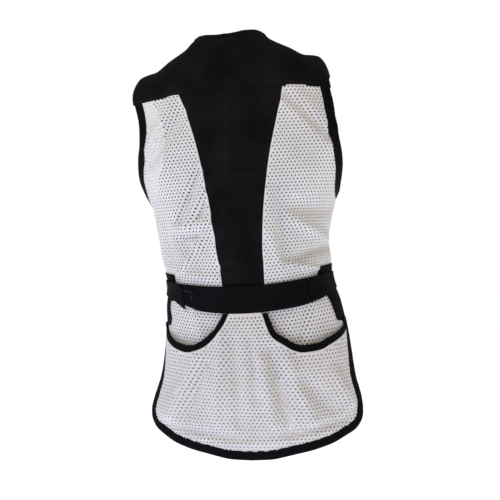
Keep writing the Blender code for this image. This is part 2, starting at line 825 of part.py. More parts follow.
def build_belt(belt_cloth, collection):
    gap = math.degrees(GAP / 0.13)
    seam_left = (BELT_SEAM_LEFT, BELT_SEAM_LEFT + gap)
    seam_right = (BELT_SEAM_RIGHT, BELT_SEAM_RIGHT - gap)
    belt = (BELT_WALL, BELT_OUT, (), belt_cloth, collection)
    panel("belt_centre", belt_line(seam_right[0]), belt_line(seam_left[0]), (10, 4), *belt)
    panel("belt_side_left", belt_line(seam_left[1]), belt_line(BELT_SIDE_END), (10, 4), *belt)
    panel("belt_side_right", belt_line(-BELT_SIDE_END), belt_line(seam_right[1]), (8, 4), *belt)
    tab = (BELT_WALL, tab_out, (), belt_cloth, collection)
    left_end = belt_line(TAB_END_LEFT, TAB_ROUNDING)
    right_end = belt_line(TAB_END_RIGHT, -TAB_ROUNDING)
    panel("belt_tab_left", left_end, belt_line(TAB_SIDE_END), (14, 6), *tab)
    panel("belt_tab_right", belt_line(-TAB_SIDE_END), right_end, (12, 6), *tab)
    upwards = tuple(reversed(PATCH))
    back = rail(upwards)
    front = rail([(PATCH_FRONT_DEG, z) for _, z in upwards])
    patch = (PATCH_WALL, PATCH_OUT, (), belt_cloth, collection)
    panel("side_patch_left", back, front, (7, 8), *patch)
    panel("side_patch_right", mirrored(front), mirrored(back), (7, 8), *patch)


def zip_line(x):
    """A line down the zip, x from the middle of the front; it may pass the middle."""

    def line(share):
        height = lerp(ZIP_BOTTOM, ZIP_TOP, share)
        turned = angle_at(abs(x), height, True)
        return (turned if x > 0 else 2 * math.pi - turned), height

    return line


def outlined(name, outlines, thickness, turned, place, material, collection):
    """A flat piece from closed outlines, the later ones holes, with its middle plane at its origin."""
    flat = bpy.data.curves.new(name, "CURVE")
    flat.dimensions = "2D"
    flat.fill_mode = "BOTH"
    flat.extrude = thickness / 2
    for outline in outlines:
        spline = flat.splines.new("POLY")
        spline.points.add(len(outline) - 1)
        for point, (x, y) in zip(spline.points, outline):
            point.co = (x, y, 0.0, 1.0)
        spline.use_cyclic_u = True
    flat.materials.append(material)
    thing = bpy.data.objects.new(name, flat)
    thing.matrix_world = place @ turned
    collection.objects.link(thing)


def slider_frame(z):
    """The zip's own axes at a height of the front: X across, -Y outward, Z up along the cloth."""
    point, normal = ring_station(math.pi, z, 0.0)
    across = Vector((1, 0, 0))
    normal = (normal - across * normal.dot(across)).normalized()
    frame = Matrix((across, -normal, normal.cross(across))).transposed().to_4x4()
    frame.translation = point
    return frame


def build_zip(zip_cloth, zip_metal, collection):
    inner = CHAIN_WIDTH / 2 + GAP
    outer = inner + TAPE_WIDTH
    tape = (TAPE_WALL, TAPE_OUT, FRONT_FOLDS, zip_cloth, collection)
    panel("zip_tape_left", zip_line(outer), zip_line(inner), (1, ZIP_ROWS), *tape)
    panel("zip_tape_right", zip_line(-inner), zip_line(-outer), (1, ZIP_ROWS), *tape)
    chain = (CHAIN_THICKNESS, CHAIN_OUT, FRONT_FOLDS, zip_metal, collection)
    edge = CHAIN_WIDTH / 2
    panel("zip_chain", zip_line(edge), zip_line(-edge), (2, ZIP_ROWS), *chain)

    # The slider, seen from the side as (out, up), wraps the top end of the chain
    frame = slider_frame(ZIP_TOP)
    front_face = CHAIN_OUT + SLIDER_GAP
    back_face = CHAIN_OUT - CHAIN_THICKNESS - SLIDER_GAP
    crown = CROWN_GAP + SLIDER_NOSE
    foot = crown - SLIDER_LENGTH
    outer_face = front_face + PLATE_WALL
    side_view = (
        (back_face - PLATE_WALL, foot),
        (back_face, foot),
        (back_face, CROWN_GAP),
        (front_face, CROWN_GAP),
        (front_face, foot),
        (outer_face, foot),
        (outer_face, crown),
        (back_face - PLATE_WALL, crown),
    )
    sideways = Matrix(((0, 0, 1, 0), (-1, 0, 0, 0), (0, 1, 0, 0), (0, 0, 0, 1)))
    outlined("zip_slider", [side_view], SLIDER_WIDTH, sideways, frame, zip_metal, collection)

    # The bridge stands on the slider's front plate, and the tab's upper bar turns inside it
    base = outer_face + SLIDER_GAP
    length, height = BRIDGE_HOLLOW
    middle = crown - BRIDGE_DOWN
    low = middle - length / 2
    high = middle + length / 2
    bridge_view = (
        (base, low - BRIDGE_WALL),
        (base + height + BRIDGE_WALL, low - BRIDGE_WALL),
        (base + height + BRIDGE_WALL, high + BRIDGE_WALL),
        (base, high + BRIDGE_WALL),
        (base, high),
        (base + height, high),
        (base + height, low),
        (base, low),
    )
    outlined("zip_bridge", [bridge_view], BRIDGE_WIDTH, sideways, frame, zip_metal, collection)

    # The pull tab's origin is on its hinge axis, in the middle of its upper bar
    half = PULL_WIDTH / 2
    top = PULL_BAR / 2
    end = top - PULL_LENGTH
    corner = PULL_CORNER
    tab_view = (
        (-half + 0.4 * corner, top),
        (half - 0.4 * corner, top),
        (half, top - 0.4 * corner),
        (half, end + corner),
        (half - 0.3 * corner, end + 0.3 * corner),
        (half - corner, end),
        (-half + corner, end),
        (-half + 0.3 * corner, end + 0.3 * corner),
        (-half, end + corner),
        (-half, top - 0.4 * corner),
    )
    wide, tall = WINDOW
    window = (
        (-wide / 2, top - PULL_BAR),
        (-wide / 2, top - PULL_BAR - tall),
        (wide / 2, top - PULL_BAR - tall),
        (wide / 2, top - PULL_BAR),
    )
    facing = Matrix(((1, 0, 0, 0), (0, 0, -1, 0), (0, 1, 0, 0), (0, 0, 0, 1)))
    hinge = frame @ Matrix.Translation((0, -(base + height / 2), middle))
    outlined("zip_pull", [tab_view, window], PULL_WALL, facing, hinge, zip_metal, collection)


def main():
    clear_scene()
    collection = bpy.data.collections.new(OBJECT_NAME)
    bpy.context.scene.collection.children.link(collection)
    twill = make_material("black_twill", (0.012, 0.012, 0.013), 0.85)
    mesh_cloth = make_material("white_mesh", (0.80, 0.78, 0.76), 0.75)
    tape_cloth = make_material("binding_tape", (0.010, 0.010, 0.012), 0.80)
    belt_cloth = make_material("belt_cloth", (0.009, 0.010, 0.013), 0.80)
    zip_cloth = make_material("zip_tape", (0.010, 0.010, 0.010), 0.80)
    zip_metal = make_material("zip_parts", (0.020, 0.020, 0.021), 0.45, 0.6)
    build_yoke(twill, collection)
    build_upper_back(twill, mesh_cloth, collection)
    build_front(twill, collection)
    build_tail(mesh_cloth, tape_cloth, collection)
    build_bindings(tape_cloth, collection)
    build_belt(belt_cloth, collection)
    build_zip(zip_cloth, zip_metal, collection)


main()
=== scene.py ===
"""Looks of the shooting vest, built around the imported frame.

The cloth follows the same torso form as the solids: rings below the yoke, an arch over the shoulders.
A place on the rings is an angle and a height: angle 0 is the centre back, 90 degrees the wearer's left
side, 180 degrees the centre front. Metres, +Z up, the back at +Y, the wearer's left at +X.
"""

import math
from collections import namedtuple

import bmesh
import bpy
import numpy as np
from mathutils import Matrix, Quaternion, Vector


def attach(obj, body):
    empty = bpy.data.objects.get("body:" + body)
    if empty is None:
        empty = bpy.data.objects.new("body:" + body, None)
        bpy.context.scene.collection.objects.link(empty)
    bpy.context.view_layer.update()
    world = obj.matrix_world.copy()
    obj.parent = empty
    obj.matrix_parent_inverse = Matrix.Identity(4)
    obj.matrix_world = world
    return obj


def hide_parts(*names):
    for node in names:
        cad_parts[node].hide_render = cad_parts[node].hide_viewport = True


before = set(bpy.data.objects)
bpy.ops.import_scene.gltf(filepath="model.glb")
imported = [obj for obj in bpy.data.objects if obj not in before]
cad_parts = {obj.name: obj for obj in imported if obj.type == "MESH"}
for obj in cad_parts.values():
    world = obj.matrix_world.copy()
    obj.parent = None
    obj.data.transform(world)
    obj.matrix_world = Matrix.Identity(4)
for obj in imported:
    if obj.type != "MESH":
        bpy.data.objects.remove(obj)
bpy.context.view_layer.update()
SIDES = ((1, "left"), (-1, "right"))


def metres(*rows):
    """Rows of millimetres, as rows of metres."""
    return [[round(value / 1000, 6) for value in row] for row in rows]


# The form and the lines of the pattern, with the same values as the part's source. Their columns:
# rings z, half width, back, front; stances z, slope, bow, sway, middle; flares z, wider, edge degrees;
# armholes, hem and pouch tops degrees, z; ridge x, z; centre panel z, half width; pouch depth z, depth.
RINGS = metres(
    (-780, 197, 122, 112), (-735, 197, 120, 114), (-700, 196, 117, 116), (-668, 190, 114, 116),
    (-623, 177, 109, 114), (-578, 169, 104, 111), (-510, 161, 99, 107), (-465, 152, 97, 106),
    (-420, 157, 100, 109), (-386, 158, 104, 113), (-341, 165, 110, 119), (-307, 172, 114, 123),
    (-285, 183, 116, 125), (-250, 202, 118, 126), (-215, 215, 118, 125), (-180, 223, 116, 122),
    (-103, 226, 108, 114),
)
RING_POWER = 2.2
ARCH_Z = -0.103
ARCH_POWER = 2.2
RIDGE_Y = -0.01
RIDGE = metres(
    (0, 26), (30, 24), (50, 16.5), (66, 5.5), (76, -4.5), (112, -25.5), (141, -43.5), (151, -44.8),
    (165, -48), (174, -56), (180, -67), (182.5, -78),
)
NECK_HALF_WIDTH = 0.066
NECK_BACK = 0.08
YOKE_HALF_WIDTH = 0.1825
YOKE_FRONT_OUTER = 0.1735
YOKE_FRONT_INNER = 0.046
STANCES = (
    (-0.78, 0.034, 0, 0.0005, 0.0014), (-0.69, 0.036, 0, 0.0005, 0.0014),
    (-0.65, 0.036, 0, -0.0025, 0.0005), (-0.6, 0.035, 0.003, -0.004, -0.0008),
    (-0.56, 0.03, 0.01, -0.0035, -0.0012), (-0.51, 0.008, 0.018, 0.001, 0.0004),
    (-0.465, 0.002, 0.018, 0.0055, 0.0014), (-0.43, 0, 0.014, 0.008, 0.0022),
    (-0.386, 0, 0.004, 0.013, 0.004), (-0.307, 0, 0, 0.007, 0.0025),
    (-0.25, -0.004, 0, 0.004, 0.0014), (-0.18, -0.008, -0.002, 0.001, 0.0004),
    (-0.14, -0.01, -0.005, 0.003, 0.0006), (-0.103, -0.012, -0.0075, 0.009, 0.001),
    (-0.075, -0.023, -0.005, 0.015, 0.006), (-0.046, -0.036, 0, 0.0165, 0.012),
    (-0.02, -0.036, 0, 0.0165, 0.0155), (0.03, -0.036, 0, 0.0165, 0.0155),
)
SWAY_REACH = 0.17
SIDE_DEG = 95.0
UNDERARM_Z = -0.303
WAIST_Z = -0.481
BACK_ARMHOLE = (
    (95, -0.303), (88, -0.3015), (79, -0.294), (70, -0.277), (61.8, -0.25), (53.4, -0.215),
    (48.2, -0.18), (46.3, -0.145), (46, -0.103),
)
FRONT_ARMHOLE = (
    (95, -0.303), (102, -0.3005), (110, -0.29), (118, -0.27), (125.8, -0.242), (132.2, -0.208),
    (135.8, -0.175), (137, -0.145), (136.4, -0.103),
)
CENTRE_PANEL = metres(
    (-481, 37.5), (-428, 39.5), (-375, 43), (-322, 47.5), (-270, 55), (-217, 64.5), (-164, 77.5),
    (-103, 94.5),
)
FRONT_HEM_Z = -0.66
FRONT_HEM_RISE = 0.006
FRONT_EDGE = 0.0042
NECK_POINT_Z = -0.172
NECKLINE_BOW = 0.9
TAIL_DEG = 86.0
FLARES = (
    (-0.78, 0.01, 66.5), (-0.7, 0.01, 66.5), (-0.66, 0.0085, 68), (-0.62, 0.0045, 72),
    (-0.58, 0.002, 79), (-0.543, 0, 86), (-0.47, 0, 86),
)
TAIL_HEM = (
    (0, -0.7518), (10, -0.7505), (19, -0.7458), (26.4, -0.7415), (34, -0.7378), (42, -0.733),
    (52, -0.7262), (62, -0.717), (75, -0.706), (80, -0.6985), (83.5, -0.69), (86, -0.676),
)
SCOOP_DEG = 8.8
POUCH_TOP_LEFT = (
    (0, -0.5053), (8.3, -0.5053), (8.8, -0.5053), (9.9, -0.515), (11.9, -0.5262), (14.9, -0.5404),
    (19, -0.5535), (23.3, -0.5634), (28.1, -0.5702), (34, -0.5755), (40.3, -0.5775),
    (51.2, -0.5743), (62, -0.568), (74, -0.56), (86, -0.551),
)
POUCH_TOP_RIGHT = (
    (0, -0.5053), (8.3, -0.5053), (8.8, -0.5053), (9.9, -0.523), (11.9, -0.5435), (14.5, -0.553),
    (17.4, -0.5588), (26.2, -0.5738), (32.9, -0.5778), (44.8, -0.5764), (53.5, -0.5704),
    (70, -0.5607), (86, -0.5515),
)
POUCH_DEPTH = metres(
    (-760, 2.8), (-730, 7), (-690, 12), (-640, 15), (-590, 15), (-555, 13), (-530, 10), (-505.3, 4.8),
)
POUCH_EDGE_DEPTH = 0.0033
TAIL_TOP_Z = -0.543
BELT_TOP = -0.4565
BELT_SEAM_LEFT = 15.5
BELT_SEAM_RIGHT = -24.1
BELT_SIDE_END = 61.0
BELT_OUT = 0.0059
TAB_SIDE_END = 98.0
TAB_OUT = 0.009
TAB_OUT_SIDE = 0.0058
TAB_STEP = (63.0, 76.0)
PATCH_OUT = 0.003
PATCH_FRONT_DEG = 106.0
ZIP_TOP = -0.179
ZIP_BOTTOM = -0.65

# Folds of the cloth: x and z of one end, x and z of the other, half width, and height outward
BACK_FOLDS = metres(
    (93, -136, 158, -221, 10, -7.3), (116, -121, 164, -198, 10, 4.6), (106, -177, 141, -247, 16, 4),
    (67, -248, 110, -335, 7.5, -8.9), (59, -281, 95, -343, 6, 5.4), (59, -306, 82, -349, 5.5, -6.2),
    (107, -346, 51, -339, 9, 7.2), (116, -363, 71, -363, 8, -8), (108, -372, 87, -392, 13, -6.2),
    (49, -368, 78, -419, 9, -5.9), (66, -363, 108, -424, 6, 6.2), (143, -333, 132, -408, 12, -7.2),
    (117, -435, 52, -439, 8, 5.4), (-117, -113, -156, -170, 12, 3.5),
    (-97, -117, -170, -199, 9, -6.3), (-88, -131, -165, -217, 10, 4),
    (-74, -281, -82, -409, 10, -8.6), (-100, -341, -156, -383, 10, 8.6),
    (-103, -412, -157, -400, 9, -12.4), (-87, -425, -131, -442, 6, 7.6),
    (-58, -363, -73, -438, 8, 6.2), (-106, -318, -167, -329, 16, -10), (4, -111, 11, -240, 5, 4.4),
    (18, -302, 31, -390, 6, 4.4), (-48, -262, 7, -253, 6, 4.8), (7, -253, 46, -282, 6, 6),
    (17, -242, 46, -250, 6, -4.4), (23, -412, -36, -416, 6, 4.4), (44, -421, 10, -425, 5, -4.8),
)
POUCH_FOLDS = metres(
    (87, -585, 143, -686, 14, 11), (70, -598, 111, -694, 10, -9.5), (41, -543, 54, -691, 9, 6.9),
    (24, -551, 15, -699, 10, -8.3), (-6, -551, -15, -655, 8, -6.9), (-38, -573, -72, -705, 11, -12.4),
    (-24, -586, -42, -699, 9, 6.9), (-61, -719, -159, -697, 8, -8.3), (134, -718, 44, -737, 6, 5.5),
    (44, -737, -84, -727, 6, 5.5), (-84, -727, -159, -711, 6, 5.5), (-142, -619, -167, -668, 10, 9.5),
    (-84, -623, -142, -681, 13, -8.3), (-66, -588, -109, -701, 10, 8.3),
    (157, -708, 17, -722, 8, -6.9),
)
SKIRT_FOLDS = metres(
    (60, -545, 100, -600, 10, -2.3), (-70, -560, -88, -505, 7, 3.3), (-88, -565, -106, -505, 7, -3),
    (-106, -565, -122, -505, 8, 3.3), (85, -560, 98, -505, 8, 2.7),
)
FRONT_FOLDS = metres(
    (60, -230, 130, -300, 18, -4), (50, -380, 110, -430, 15, -4), (55, -540, 110, -610, 18, 4),
    (-60, -240, -125, -310, 18, -4), (-55, -390, -115, -440, 15, -4), (-55, -560, -105, -620, 18, 4),
    (30, -300, 90, -345, 9, 2.2), (-35, -315, -95, -355, 9, 2.2),
)
FOLD_FADE = 0.35
FOLD_SIDE_DEG = 16.0
FOLD_INSET = 0.022
FOLD_HEM_CLEAR = 0.004
TAIL_ARC = 0.0028
LIP_SCALE = 0.105


def curve(pairs):
    """A smooth curve through (x, y) pairs that never overshoots, for numbers and arrays."""
    xs, ys = (np.array(v, float) for v in zip(*sorted(pairs)))
    steps = np.diff(ys) / np.diff(xs)
    both = steps[:-1] + steps[1:]
    product = steps[:-1] * steps[1:]
    inner = np.where(product > 0, 2 * product / np.where(both == 0, 1, both), 0.0)
    slopes = np.concatenate([steps[:1], inner, steps[-1:]])

    def at(x):
        x = np.clip(x, xs[0], xs[-1])
        i = np.clip(np.searchsorted(xs, x, side="right") - 1, 0, len(xs) - 2)
        span = xs[i + 1] - xs[i]
        t = (x - xs[i]) / span
        rise = (3 - 2 * t) * t * t
        bend = slopes[i] * t * (1 - t) ** 2 - slopes[i + 1] * t * t * (1 - t)
        return ys[i] + (ys[i + 1] - ys[i]) * rise + span * bend

    return at


def column(table, k):
    return curve([(row[0], row[k]) for row in table])


half_width, back_depth, front_depth = (column(RINGS, k) for k in (1, 2, 3))
slope_at, bow_at, sway_at, middle_sway_at = (column(STANCES, k) for k in (1, 2, 3, 4))
tail_wider, tail_edge = (column(FLARES, k) for k in (1, 2))
ridge_z = curve(RIDGE)
centre_half_width = curve(CENTRE_PANEL)
tail_hem_z = curve(TAIL_HEM)
pouch_top_left = curve(POUCH_TOP_LEFT)
pouch_top_right = curve(POUCH_TOP_RIGHT)
pouch_depth = curve(POUCH_DEPTH)


def lerp(low, high, share):
    return low + (high - low) * share


def ease(share):
    share = np.clip(share, 0.0, 1.0)
    return share * share * (3 - 2 * share)


def bump(distance, width):
    """A soft hump of height 1 over the places where distance is near zero."""
    return np.exp(-((distance / width) ** 2))


def signed_power(value, power):
    return np.sign(value) * np.abs(value) ** power


def posed(points):
    """The points as the wearer's stance carries them."""
    x, y, z = points[..., 0], points[..., 1], points[..., 2]
    reach = (x / SWAY_REACH) ** 2
    shift = lerp(middle_sway_at(z), sway_at(z), np.minimum(1.0, reach))
    return np.stack([x + shift, y, z + x * slope_at(z) + bow_at(z) * reach], -1)


def angle_at(x, z, front=False):
    """The angle round the ring at height z where its point lies x from the middle plane."""
    turned = np.arcsin(np.minimum(1.0, np.abs(x) / half_width(z)) ** (RING_POWER / 2))
    turned = np.pi - turned if front else turned
    return np.where(np.asarray(x) < 0, -turned, turned)


def fold_height(folds, x, z):
    """How far the folds push the cloth out at (x, z) of the form."""
    total = np.zeros(np.broadcast(x, z).shape)
    for x0, z0, x1, z1, width, height in folds:
        run = np.array([x1 - x0, z1 - z0])
        length = np.hypot(*run)
        along = ((x - x0) * run[0] + (z - z0) * run[1]) / length**2
        away = ((x - x0) * run[1] - (z - z0) * run[0]) / length
        past = np.maximum(0.0, np.maximum(-along, along - 1)) * length
        fade = 1 - FOLD_FADE * np.abs(2 * np.clip(along, 0.0, 1.0) - 1)
        total = total + height * fade * bump(np.hypot(away, past), width)
    return total


def ring_raw(angle, z, out=0.0, folds=(), wider=0.0):
    """A point of the rings before the stance; the folds die out towards the side seams."""
    angle, z = np.broadcast_arrays(np.asarray(angle, float), np.asarray(z, float))
    deep = np.where(np.abs(angle) < np.pi / 2, back_depth(z), front_depth(z))
    side = signed_power(np.sin(angle), 2 / RING_POWER)
    rear = signed_power(np.cos(angle), 2 / RING_POWER)
    wide = half_width(z) + wider
    if len(folds):
        from_side = np.abs(np.abs(np.degrees(angle)) - SIDE_DEG)
        out = out + fold_height(folds, wide * side, z) * ease(from_side / FOLD_SIDE_DEG)
    return np.stack([(wide + out) * side, (deep + out) * rear, z], -1)


def tail_raw(angle, z, out=0.0, folds=()):
    """A point of the tail, whose folds die out towards its bound edge."""
    turned = angle * tail_edge(z) / TAIL_DEG
    if len(folds):
        degrees = np.minimum(np.abs(np.degrees(angle)), TAIL_DEG)
        above_hem = z - tail_hem_z(degrees) - FOLD_HEM_CLEAR
        inset = np.minimum((TAIL_DEG - degrees) * TAIL_ARC, above_hem)
        x = ring_raw(turned, z, 0.0, (), tail_wider(z))[..., 0]
        out = out + fold_height(folds, x, z) * ease(inset / FOLD_INSET)
    return ring_raw(turned, z, out, (), tail_wider(z))


def ring(angle, z, out=0.0, folds=()):
    """A point of the body below the yoke, out from it by a distance and by the folds."""
    return posed(ring_raw(angle, z, out, folds))


def tail(angle, z, out=0.0, folds=()):
    """A point of the tail, whose side edges keep one angle while they turn away from the body."""
    return posed(tail_raw(angle, z, out, folds))


def across_arch(x):
    return (1 - (np.abs(x) / half_width(ARCH_Z)) ** RING_POWER) ** (1 / RING_POWER)


def arch(x, turn, out=0.0):
    """A point of the yoke: turn 0 is the back seam and pi the front seam, and beyond them hangs the lip."""
    x, turn = np.broadcast_arrays(np.asarray(x, float), np.asarray(turn, float))
    deep = np.where(turn < np.pi / 2, back_depth(ARCH_Z), -front_depth(ARCH_Z))
    foot = deep * across_arch(x) + np.sign(deep) * out
    rise = ridge_z(np.abs(x)) + out - ARCH_Z
    inside = np.clip(turn, 0.0, np.pi)
    flat = np.abs(np.cos(inside)) ** (2 / ARCH_POWER)
    high = np.abs(np.sin(inside)) ** (2 / ARCH_POWER)
    below = LIP_SCALE * (np.maximum(-turn, 0.0) + np.maximum(turn - np.pi, 0.0))
    return posed(np.stack([x, lerp(RIDGE_Y, foot, flat), ARCH_Z + rise * high - below], -1))


# Metres that a radian spans round the torso, for lengths along the pattern's lines
TORSO_REACH = 0.17


def rail(rows):
    """A line of the pattern through (degrees, z) rows, as a function from 0 to 1 of its length."""
    lengths = [0.0]
    for before, after in zip(rows, rows[1:]):
        across = math.radians(after[0] - before[0]) * TORSO_REACH
        lengths.append(lengths[-1] + math.hypot(across, after[1] - before[1]))
    angle = curve([(length, math.radians(row[0])) for length, row in zip(lengths, rows)])
    height = curve([(length, row[1]) for length, row in zip(lengths, rows)])
    whole = lengths[-1]
    return lambda share: (angle(np.asarray(share) * whole), height(np.asarray(share) * whole))


back_armhole = rail(BACK_ARMHOLE)
front_armhole = rail(FRONT_ARMHOLE)
SIDE = math.radians(SIDE_DEG)


# How many waves the noise adds up, and what brings their sum to about 1
WAVES = 6
WAVE_SUM = 3.5


def smooth_noise(x, z, scale, seed):
    """Gentle uneven values from about -1 to 1, made from a few crossed waves."""
    rng = np.random.default_rng(seed)
    total = np.zeros(np.broadcast(x, z).shape)
    for _ in range(WAVES):
        way = rng.uniform(0, 2 * np.pi)
        size = scale * rng.uniform(0.6, 1.7)
        wave = (x * np.cos(way) + z * np.sin(way)) * 2 * np.pi / size
        total = total + np.sin(wave + rng.uniform(0, 6.3))
    return total / WAVE_SUM


# Mesh making
def add_object(name, data):
    thing = bpy.data.objects.new(name, data)
    bpy.context.scene.collection.objects.link(thing)
    return thing


def thicken(thing, thickness):
    """Gives a surface a wall that lies inside it."""
    wall = thing.modifiers.new("Wall", "SOLIDIFY")
    wall.thickness = thickness
    wall.offset = -1.0


def new_object(name, points, faces, material, smooth=40.0):
    """An object of these points and faces, smooth up to an edge angle in degrees."""
    mesh = bpy.data.meshes.new(name)
    corners = [tuple(point) for point in np.asarray(points).reshape(-1, 3)]
    mesh.from_pydata(corners, [], [tuple(face) for face in faces])
    mesh.validate()
    mesh.materials.append(material)
    mesh.shade_smooth()
    mesh.set_sharp_from_angle(angle=math.radians(smooth))
    return add_object(name, mesh)


def facing_out(thing):
    """Makes all normals point outward."""
    shape = bmesh.new()
    shape.from_mesh(thing.data)
    bmesh.ops.recalc_face_normals(shape, faces=shape.faces)
    shape.to_mesh(thing.data)
    shape.free()
    return thing


def unit(vectors):
    return vectors / np.maximum(np.linalg.norm(vectors, axis=-1, keepdims=True), 1e-12)


RIM_ROUNDING = 0.3


def wall_from_grid(name, outer, thickness, material):
    """A closed wall: the outer grid, the inner one, and a rim whose middle stands out a little."""
    rows, columns = outer.shape[:2]
    normal = unit(np.cross(np.gradient(outer, axis=0), np.gradient(outer, axis=1)))
    if (outer * [1, 1, 0] * normal).sum() < 0:
        normal = -normal
    flat_outer = outer.reshape(-1, 3)
    flat_normal = normal.reshape(-1, 3)
    flat_inner = flat_outer - flat_normal * thickness
    count = rows * columns
    index = np.arange(count).reshape(rows, columns)
    corners = (index[:-1, :-1], index[:-1, 1:], index[1:, 1:], index[1:, :-1])
    outer_faces = np.stack([corner.ravel() for corner in corners], 1)
    loop = np.concatenate([index[0, :-1], index[:-1, -1], index[-1, :0:-1], index[:0:-1, 0]])
    along = np.roll(flat_outer[loop], -1, 0) - np.roll(flat_outer[loop], 1, 0)
    beyond = unit(np.cross(along, flat_normal[loop]))
    if ((flat_outer[loop] - flat_outer.mean(0)) * beyond).sum() < 0:
        beyond = -beyond
    middle = (flat_outer[loop] + flat_inner[loop]) / 2 + beyond * thickness * RIM_ROUNDING
    after = np.roll(loop, -1)
    mid = np.arange(len(loop)) + 2 * count
    mid_after = np.roll(mid, -1)
    outer_rim = np.stack([loop, mid, mid_after, after], 1)
    inner_rim = np.stack([mid, loop + count, after + count, mid_after], 1)
    faces = np.concatenate([outer_faces, outer_faces[:, ::-1] + count, outer_rim, inner_rim])
    points = np.concatenate([flat_outer, flat_inner, middle])
    return facing_out(new_object(name, points, faces.tolist(), material, 60.0))


def sweep(name, centre, side, up, outlines, material):
    """A closed body swept along stations, with one outline of (side, up) offsets per station."""
    size = outlines.shape[1]
    points = centre[:, None] + side[:, None] * outlines[:, :, 0, None]
    points = points + up[:, None] * outlines[:, :, 1, None]
    index = np.arange(len(centre) * size).reshape(len(centre), size)
    first, second = index[:-1], index[1:]
    walls = np.stack([first, np.roll(first, -1, 1), np.roll(second, -1, 1), second], -1)
    faces = walls.reshape(-1, 4).tolist() + [index[0, ::-1].tolist(), index[-1].tolist()]
    return facing_out(new_object(name, points, faces, material, 50.0))


# Materials
def set_inputs(node, values):
    for socket, value in values.items():
        node.inputs[socket].default_value = value


def node_material(name, colour, roughness, specular=0.25, metallic=0.0, sheen=0.0):
    material = bpy.data.materials.new(name)
    material.use_nodes = True
    set_inputs(material.node_tree.nodes["Principled BSDF"], {
        "Base Color": (*colour, 1.0), "Roughness": roughness, "Metallic": metallic,
        "Specular IOR Level": specular, "Sheen Weight": sheen, "Sheen Roughness": 0.5,
    })
    return material


def math_node(tree, operation, *values):
    node = tree.nodes.new("ShaderNodeMath")
    node.operation = operation
    for socket, value in zip(node.inputs, values):
        if isinstance(value, (int, float)):
            socket.default_value = value
        else:
            tree.links.new(value, socket)
    return node.outputs[0]


def noise_node(tree, where, scale, detail):
    noise = tree.nodes.new("ShaderNodeTexNoise")
    set_inputs(noise, {"Scale": scale, "Detail": detail})
    tree.links.new(where, noise.inputs["Vector"])
    return noise.outputs["Fac"]


Cloth = namedtuple("Cloth", "dark light pitch slant roughness depth specular sheen")
WEFT_PITCH = 1.3
WEFT_HEIGHT = 0.4
TONE_SCALE = 16.0
TONE_CONTRAST = 3.0
TONE_SHARE = 0.7
YARN_SCALE = 900.0
YARN_HEIGHT = 1.2
BUMP_STRENGTH = 0.5


def woven(name, cloth):
    """Cloth with ribs of a given pitch and slant, with mottled colour and uneven bump."""
    material = node_material(name, cloth.dark, cloth.roughness, cloth.specular, 0.0, cloth.sheen)
    tree = material.node_tree
    shader = tree.nodes["Principled BSDF"]
    where = tree.nodes.new("ShaderNodeNewGeometry").outputs["Position"]
    split = tree.nodes.new("ShaderNodeSeparateXYZ")
    tree.links.new(where, split.inputs[0])
    height = split.outputs["Z"]
    across = math_node(tree, "ADD", split.outputs["X"], split.outputs["Y"])
    slanted = math_node(tree, "MULTIPLY_ADD", height, cloth.slant, across)
    rib = math_node(tree, "SINE", math_node(tree, "MULTIPLY", slanted, 2 * math.pi / cloth.pitch))
    threads = math_node(tree, "MULTIPLY", height, 2 * math.pi / (cloth.pitch * WEFT_PITCH))
    weave = math_node(tree, "MULTIPLY_ADD", math_node(tree, "SINE", threads), WEFT_HEIGHT, rib)
    patches = noise_node(tree, where, TONE_SCALE, 5.0)
    tone = math_node(tree, "MULTIPLY_ADD", patches, TONE_CONTRAST, (1 - TONE_CONTRAST) / 2)
    yarn = noise_node(tree, where, YARN_SCALE, 2.0)
    shade = tree.nodes.new("ShaderNodeMix")
    shade.data_type = "RGBA"
    set_inputs(shade, {"A": (*cloth.dark, 1.0), "B": (*cloth.light, 1.0)})
    rest = math_node(tree, "MULTIPLY", yarn, 1 - TONE_SHARE)
    blend = math_node(tree, "MULTIPLY_ADD", tone, TONE_SHARE, rest)
    tree.links.new(blend, shade.inputs["Factor"])
    tree.links.new(shade.outputs["Result"], shader.inputs["Base Color"])
    relief = tree.nodes.new("ShaderNodeBump")
    set_inputs(relief, {"Strength": BUMP_STRENGTH, "Distance": cloth.depth})
    surface = math_node(tree, "MULTIPLY_ADD", yarn, YARN_HEIGHT, weave)
    tree.links.new(surface, relief.inputs["Height"])
    tree.links.new(relief.outputs["Normal"], shader.inputs["Normal"])
    return material


TWILL = woven("black_twill_look", Cloth(
    (0.0026, 0.0026, 0.0027), (0.01, 0.0098, 0.0098), 0.0011, 1.0, 0.85, 0.00014, 0.05, 0.012))
TAPE = woven("binding_look", Cloth(
    (0.0028, 0.0028, 0.0032), (0.0056, 0.0056, 0.0062), 0.0009, 0.6, 0.8, 0.0001, 0.05, 0.012))
BELT = woven("belt_look", Cloth(
    (0.0028, 0.003, 0.0036), (0.0052, 0.0055, 0.0066), 0.0011, 1.0, 0.8, 0.00012, 0.05, 0.012))
# A lighter, bluer copy of the belt's look, used on the left tab only: painted light and sheen from the cool
# light on the left.
LIT_STRAP = woven("strap_painted_light_look", Cloth(
    (0.0034, 0.0037, 0.0048), (0.0058, 0.0064, 0.0082), 0.001, 0.0, 0.65, 0.0001, 0.08, 0.01))
# The braided edges of the hook pad, lighter and bluer than the belt: a painted highlight where the edges
# catch light.
PAD_EDGE_HIGHLIGHT = woven("hook_pad_edge_highlight_look", Cloth(
    (0.007, 0.0075, 0.02), (0.016, 0.017, 0.048), 0.0008, 0.0, 0.7, 0.00015, 0.1, 0.05))
